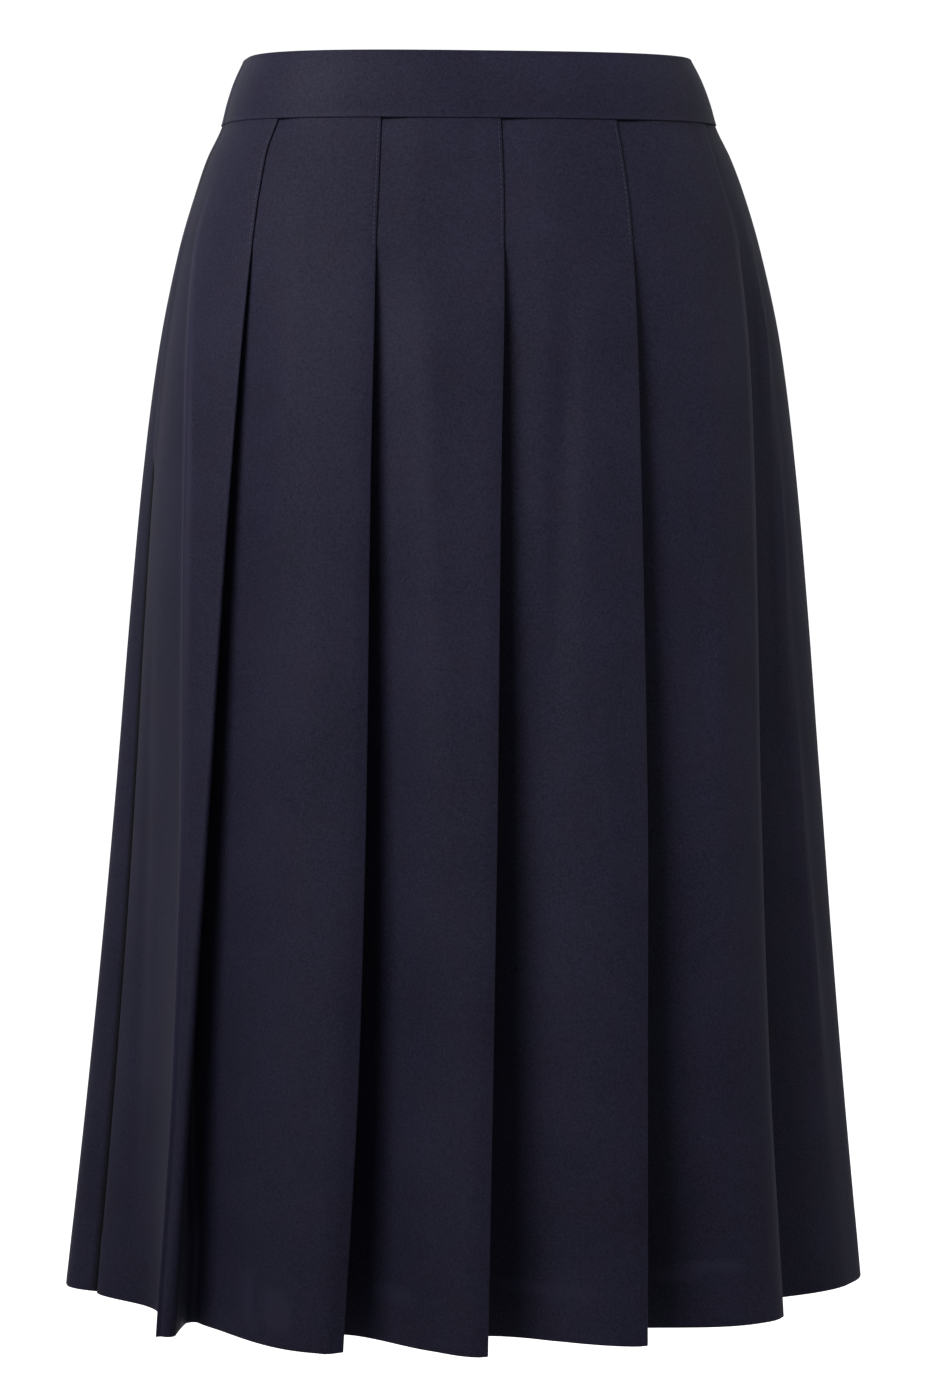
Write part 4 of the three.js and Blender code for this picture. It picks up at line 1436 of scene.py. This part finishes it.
# %% Light panels
def soft_panel(name, place, aim, size, power, spread):
    """A rectangular light of the given size in metres, facing a point. Its spread, in degrees,
    narrows the beam, so that what it isn't aimed at falls off softly."""
    light = bpy.data.lights.new(name, "AREA")
    light.shape = "RECTANGLE"
    light.size, light.size_y = size
    light.energy = power
    light.spread = math.radians(spread)
    lamp = bpy.data.objects.new(name, light)
    lamp.location = place
    way = np.subtract(aim, place)
    lamp.rotation_mode = "QUATERNION"
    lamp.rotation_quaternion = Vector(way).to_track_quat("-Z", "Y")
    bpy.context.scene.collection.objects.link(lamp)
    return lamp


soft_panel(
    "key panel", place=(-1.75, -1.7, 1.3), aim=(0, 0, 0.2), size=(1.6, 1.1), power=11.4, spread=53
)
soft_panel(
    "side panel", place=(2.3, -0.6, 0.6), aim=(0, 0, -0.25), size=(0.5, 1.2), power=2.8, spread=80
)

# %% [markdown]
# ## The white room
# The room behind the skirt fills the shadows and draws the pale rim along both sides. An
# evenly white world would wash the pleats out, so the world is white only to the camera, and
# for all other rays it is weak in front, stronger behind, and has a little light from above.

# %% World
BACKDROP_FROM = -0.3
BACKDROP_TO = 0.7


def white_room(seen_strength, front, behind, above):
    """A white world. The strength of its light runs from front to behind with the direction's
    y, plus a part that grows with its z. The camera sees an even strength."""
    world = bpy.data.worlds.new("white room")
    bpy.context.scene.world = world
    world.use_nodes = True
    tree = world.node_tree
    ground = tree.nodes["Background"]
    way = node(tree, "ShaderNodeTexCoord").outputs["Generated"]
    split = node(tree, "ShaderNodeSeparateXYZ", {0: way})
    towards_back = {0: split.outputs["Y"], 1: BACKDROP_FROM, 2: BACKDROP_TO, 3: front, 4: behind}
    back = node(tree, "ShaderNodeMapRange", towards_back)
    upwards = {0: split.outputs["Z"], 1: 0.0, 2: 1.0, 3: 0.0, 4: above}
    top = node(tree, "ShaderNodeMapRange", upwards)
    light = maths(tree, "ADD", back.outputs[0], top.outputs[0])
    seen = node(tree, "ShaderNodeLightPath").outputs["Is Camera Ray"]
    strength = node(tree, "ShaderNodeMix", {0: seen, 2: light, 3: seen_strength}, data_type="FLOAT")
    ground.inputs["Color"].default_value = WHITE
    tree.links.new(strength.outputs[0], ground.inputs["Strength"])
    return world


room = white_room(seen_strength=1.05, front=0.05, behind=0.55, above=0.12)
bpy.context.scene.view_settings.view_transform = "Standard"
print("world:", room.name)

# %% [markdown]
# ## Camera
# The photograph was taken from between two and three metres, level with the hips and turned a
# few degrees to the left of the skirt. Nudging a camera until it looks right never ends. The
# distance, the turn and the height of the horizon were fitted to the outline and the hem, and
# the focal length is worked out from the distance and from how many millimetres one pixel
# covers at the axis of the waist.

# %% Camera
FRAME_LONG_SIDE = 1400
SENSOR = 36
CAMERA_DISTANCE = 2400
MM_PER_PIXEL = 0.62
HORIZON_ABOVE_MIDDLE = 359
TURNED = math.radians(9)
AIM_DROP = 352


def make_camera():
    """Camera on a circle round the axis, pitched down so that the horizon falls where the
    photograph has it."""
    focal = CAMERA_DISTANCE / MM_PER_PIXEL
    pitch = math.atan2(HORIZON_ABOVE_MIDDLE, focal)
    aim = np.array([0, 0, SEAM_HEIGHT - AIM_DROP])
    back = np.array([
        -math.cos(pitch) * math.sin(TURNED), -math.cos(pitch) * math.cos(TURNED), math.sin(pitch)
    ])
    camera = bpy.data.objects.new("camera", bpy.data.cameras.new("camera"))
    camera.data.sensor_width = SENSOR
    camera.data.lens = SENSOR * focal / FRAME_LONG_SIDE
    camera.data.clip_end = 100
    camera.location = (aim + CAMERA_DISTANCE * back) * MM
    camera.rotation_mode = "QUATERNION"
    camera.rotation_quaternion = Vector(-back).to_track_quat("-Z", "Y")
    bpy.context.scene.collection.objects.link(camera)
    bpy.context.scene.camera = camera
    return camera


camera = make_camera()
print(f"camera at {tuple(round(v, 3) for v in camera.location)}, lens {camera.data.lens:.1f} mm")
